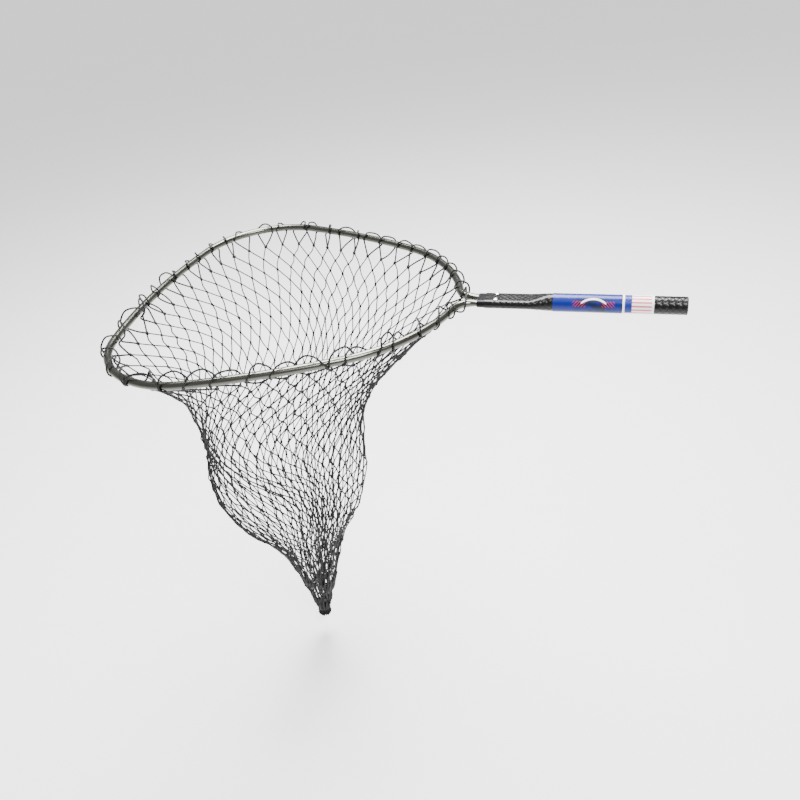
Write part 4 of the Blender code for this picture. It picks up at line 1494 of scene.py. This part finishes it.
@dataclass
class TailTie:
    """The gathered tail: twine wound round it, and the loose loops below."""

    netting: Netting
    centre: tuple[float, float]
    top: float
    bottom: float
    tail_end: float
    winding_radius: float = 15.6
    loops: int = 46
    steps_per_turn: int = 24
    unevenness: float = 0.35
    scatter: float = 0.2
    inner_radii: tuple[float, float] = (5.0, 13.0)
    outer_radii: tuple[float, float] = (12.0, 16.4)
    droop: tuple[float, float] = (1.5, 5.0)
    twists: tuple[float, float] = (0.2, 0.5)
    rise: float = 6.0
    seed: int = 31

    def winding(self) -> np.ndarray:
        """A helix of touching turns round the neck."""
        twine = 2.0 * self.netting.twine_radius
        turns = (self.top - self.bottom - twine) / twine
        shares = np.linspace(0.0, 1.0, math.ceil(turns * self.steps_per_turn))
        angles = 2.0 * math.pi * turns * shares
        heights = self.top - twine / 2.0 - shares * (self.top - self.bottom - twine)
        uneven = self.winding_radius + self.unevenness * np.sin(angles * 1.7)
        return np.column_stack([self.centre[0] + uneven * np.cos(angles),
                                self.centre[1] + uneven * np.sin(angles), heights])

    def tuft(self) -> list[np.ndarray]:
        """The netting's last meshes, as short loops that splay out under the tie."""
        random = np.random.default_rng(self.seed)
        chains = []
        for loop in range(self.loops):
            scatter = random.uniform(-self.scatter, self.scatter)
            angle = 2.0 * math.pi * loop / self.loops + scatter
            inner, outer = random.uniform(*self.inner_radii), random.uniform(*self.outer_radii)
            end = self.tail_end + random.uniform(*self.droop)
            twist = random.uniform(*self.twists)
            above = self.top + self.rise
            wide = 0.6 * (inner + outer)
            halfway = 0.5 * (self.bottom + end)
            # Each stop's radius, share of the twist and height.
            stops = ((inner, 0.0, above), (inner, 0.0, self.bottom), (wide, 0.1, halfway),
                     (outer, 0.3, end + 3.0), (outer, 0.5, end), (outer, 0.75, end + 2.5),
                     (wide, 0.9, halfway), (inner, 1.0, self.bottom), (inner, 1.0, above))
            points = [(self.centre[0] + r * math.cos(angle + turned * twist),
                       self.centre[1] + r * math.sin(angle + turned * twist), height)
                      for r, turned, height in stops]
            chains.append(smooth_chain(np.array(points), 4))
        return chains

    def build(self, strands: NodeTool, material: bpy.types.Material) -> None:
        """Make the winding and the tuft."""
        piece = chains_piece("tail_winding", [self.winding()])
        strands.run(piece, Sides=8, Radius=self.netting.twine_radius * MM, Material=material)
        finish_piece(piece, material, "net_twine", "tail_tie")
        piece = chains_piece("tail_tuft", self.tuft())
        strands.run(piece, Sides=6, Radius=self.netting.twine_radius * MM, Material=material)
        finish_piece(piece, material, "net_twine")


# ---------------------------------------------------------------------------
# Studio
# ---------------------------------------------------------------------------

@dataclass
class Softbox:
    """One large soft light."""

    place: tuple[float, float, float]
    aim: tuple[float, float, float]
    size: float
    power: float

    def build(self, name: str) -> None:
        """Hang the light and point it."""
        data = bpy.data.lights.new(name, "AREA")
        data.shape = "DISK"
        data.size = self.size
        data.energy = self.power
        lamp = bpy.data.objects.new(name, data)
        away = Vector(self.place) - Vector(self.aim)
        lamp.matrix_world = Matrix.Translation(self.place) @ away.to_track_quat(
            "Z", "Y").to_matrix().to_4x4()
        bpy.context.scene.collection.objects.link(lamp)


@dataclass
class Studio:
    """A pale floor, soft lights and the camera."""

    floor_height: float = -1.02
    floor_half: float = 40.0
    sky: str = "#ffffff"
    sky_strength: float = 0.6
    camera_place: tuple = (0.0124, -1.3511, 0.7230)
    camera_right: tuple = (0.9613, 0.2548, -0.1052)
    camera_up: tuple = (-0.0616, 0.5705, 0.8190)
    focal_length: float = 35.28
    lights: tuple = (
        Softbox((-0.7, 1.0, 2.3), (-0.4, 0.0, -0.1), 2.0, 420.0),
        Softbox((0.7, -1.5, 2.0), (-0.2, 0.0, -0.2), 1.0, 90.0),
    )

    def build(self, paper: bpy.types.Material) -> None:
        """Set the stage and the camera."""
        half = self.floor_half / MM
        level = self.floor_height / MM
        corners = np.array([(-half, -half, level), (half, -half, level),
                            (half, half, level), (-half, half, level)])
        floor = mesh_piece("studio_floor", corners, [], [(0, 1, 2, 3)])
        floor.data.materials.append(paper)
        world = bpy.data.worlds.new("studio")
        world.use_nodes = True
        backdrop = world.node_tree.nodes["Background"]
        backdrop.inputs["Color"].default_value = linear(self.sky)
        backdrop.inputs["Strength"].default_value = self.sky_strength
        bpy.context.scene.world = world
        for index, softbox in enumerate(self.lights):
            softbox.build(f"softbox_{index + 1}")
        self.place_camera()

    def place_camera(self) -> None:
        """Stand the camera at the wanted viewing angle."""
        data = bpy.data.cameras.new("camera")
        data.lens = self.focal_length
        data.clip_start = 0.02
        data.clip_end = 200.0
        camera = bpy.data.objects.new("camera", data)
        right, up = Vector(self.camera_right), Vector(self.camera_up)
        back = right.cross(up)
        turn = Matrix((right, up, back)).transposed().to_4x4()
        camera.matrix_world = Matrix.Translation(self.camera_place) @ turn
        bpy.context.scene.collection.objects.link(camera)
        bpy.context.scene.camera = camera


def main() -> None:
    """Build every sub-assembly in order."""
    logging.basicConfig(level=logging.INFO, format="%(name)s: %(message)s")
    finishes = Finishes()
    strands, copies = strand_tool(), copies_tool()
    tube_low, tube_high = (np.array(corner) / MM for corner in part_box("handle_tube"))
    hoop = HoopTube(front_edge=float(tube_low[0]))
    hoop.build(strands, finishes.hoop.material())
    handle = Handle(front_edge=float(tube_low[0]), length=float(tube_high[0] - tube_low[0]))
    handle.tube(finishes.handle.material())
    handle.sleeve(finishes.sleeve.material())
    handle.labels(finishes.wrap.material(), finishes.striped.material())
    handle.rivets(copies, finishes.rivet.material())
    handle.end_cap(finishes.cap.material())
    steel = finishes.mandrel.material()
    for node in ("rivet_mandrel_near", "rivet_mandrel_far"):
        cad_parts[node].data.materials.clear()
        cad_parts[node].data.materials.append(steel)
    hoop_low = np.array(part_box("hoop")[0]) / MM
    loops_low = np.array(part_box("rim_loops")[0]) / MM
    tie_low, tie_high = (np.array(corner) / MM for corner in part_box("tail_tie"))
    tail = tuple((tie_low + tie_high)[:2] / 2.0)
    shape = BagShape(hoop, front_bar=float(hoop_low[0]) + hoop.radius, mouth_inset=28.0,
                     mouth_depth=-float(loops_low[2]), tail=tail)
    netting = Netting(shape)
    netting.relax()
    netting.build(strands, copies, finishes.net.material())
    RimLoops(netting, hoop).build(strands, copies, finishes.loop.material())
    tail_end = float(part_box("net_bag")[0][2]) / MM
    tie = TailTie(netting, tail, float(tie_high[2]), float(tie_low[2]), tail_end)
    tie.build(strands, bpy.data.materials["laid nylon netting twine"])
    Studio().build(finishes.floor.material())


if __name__ == "__main__":
    main()
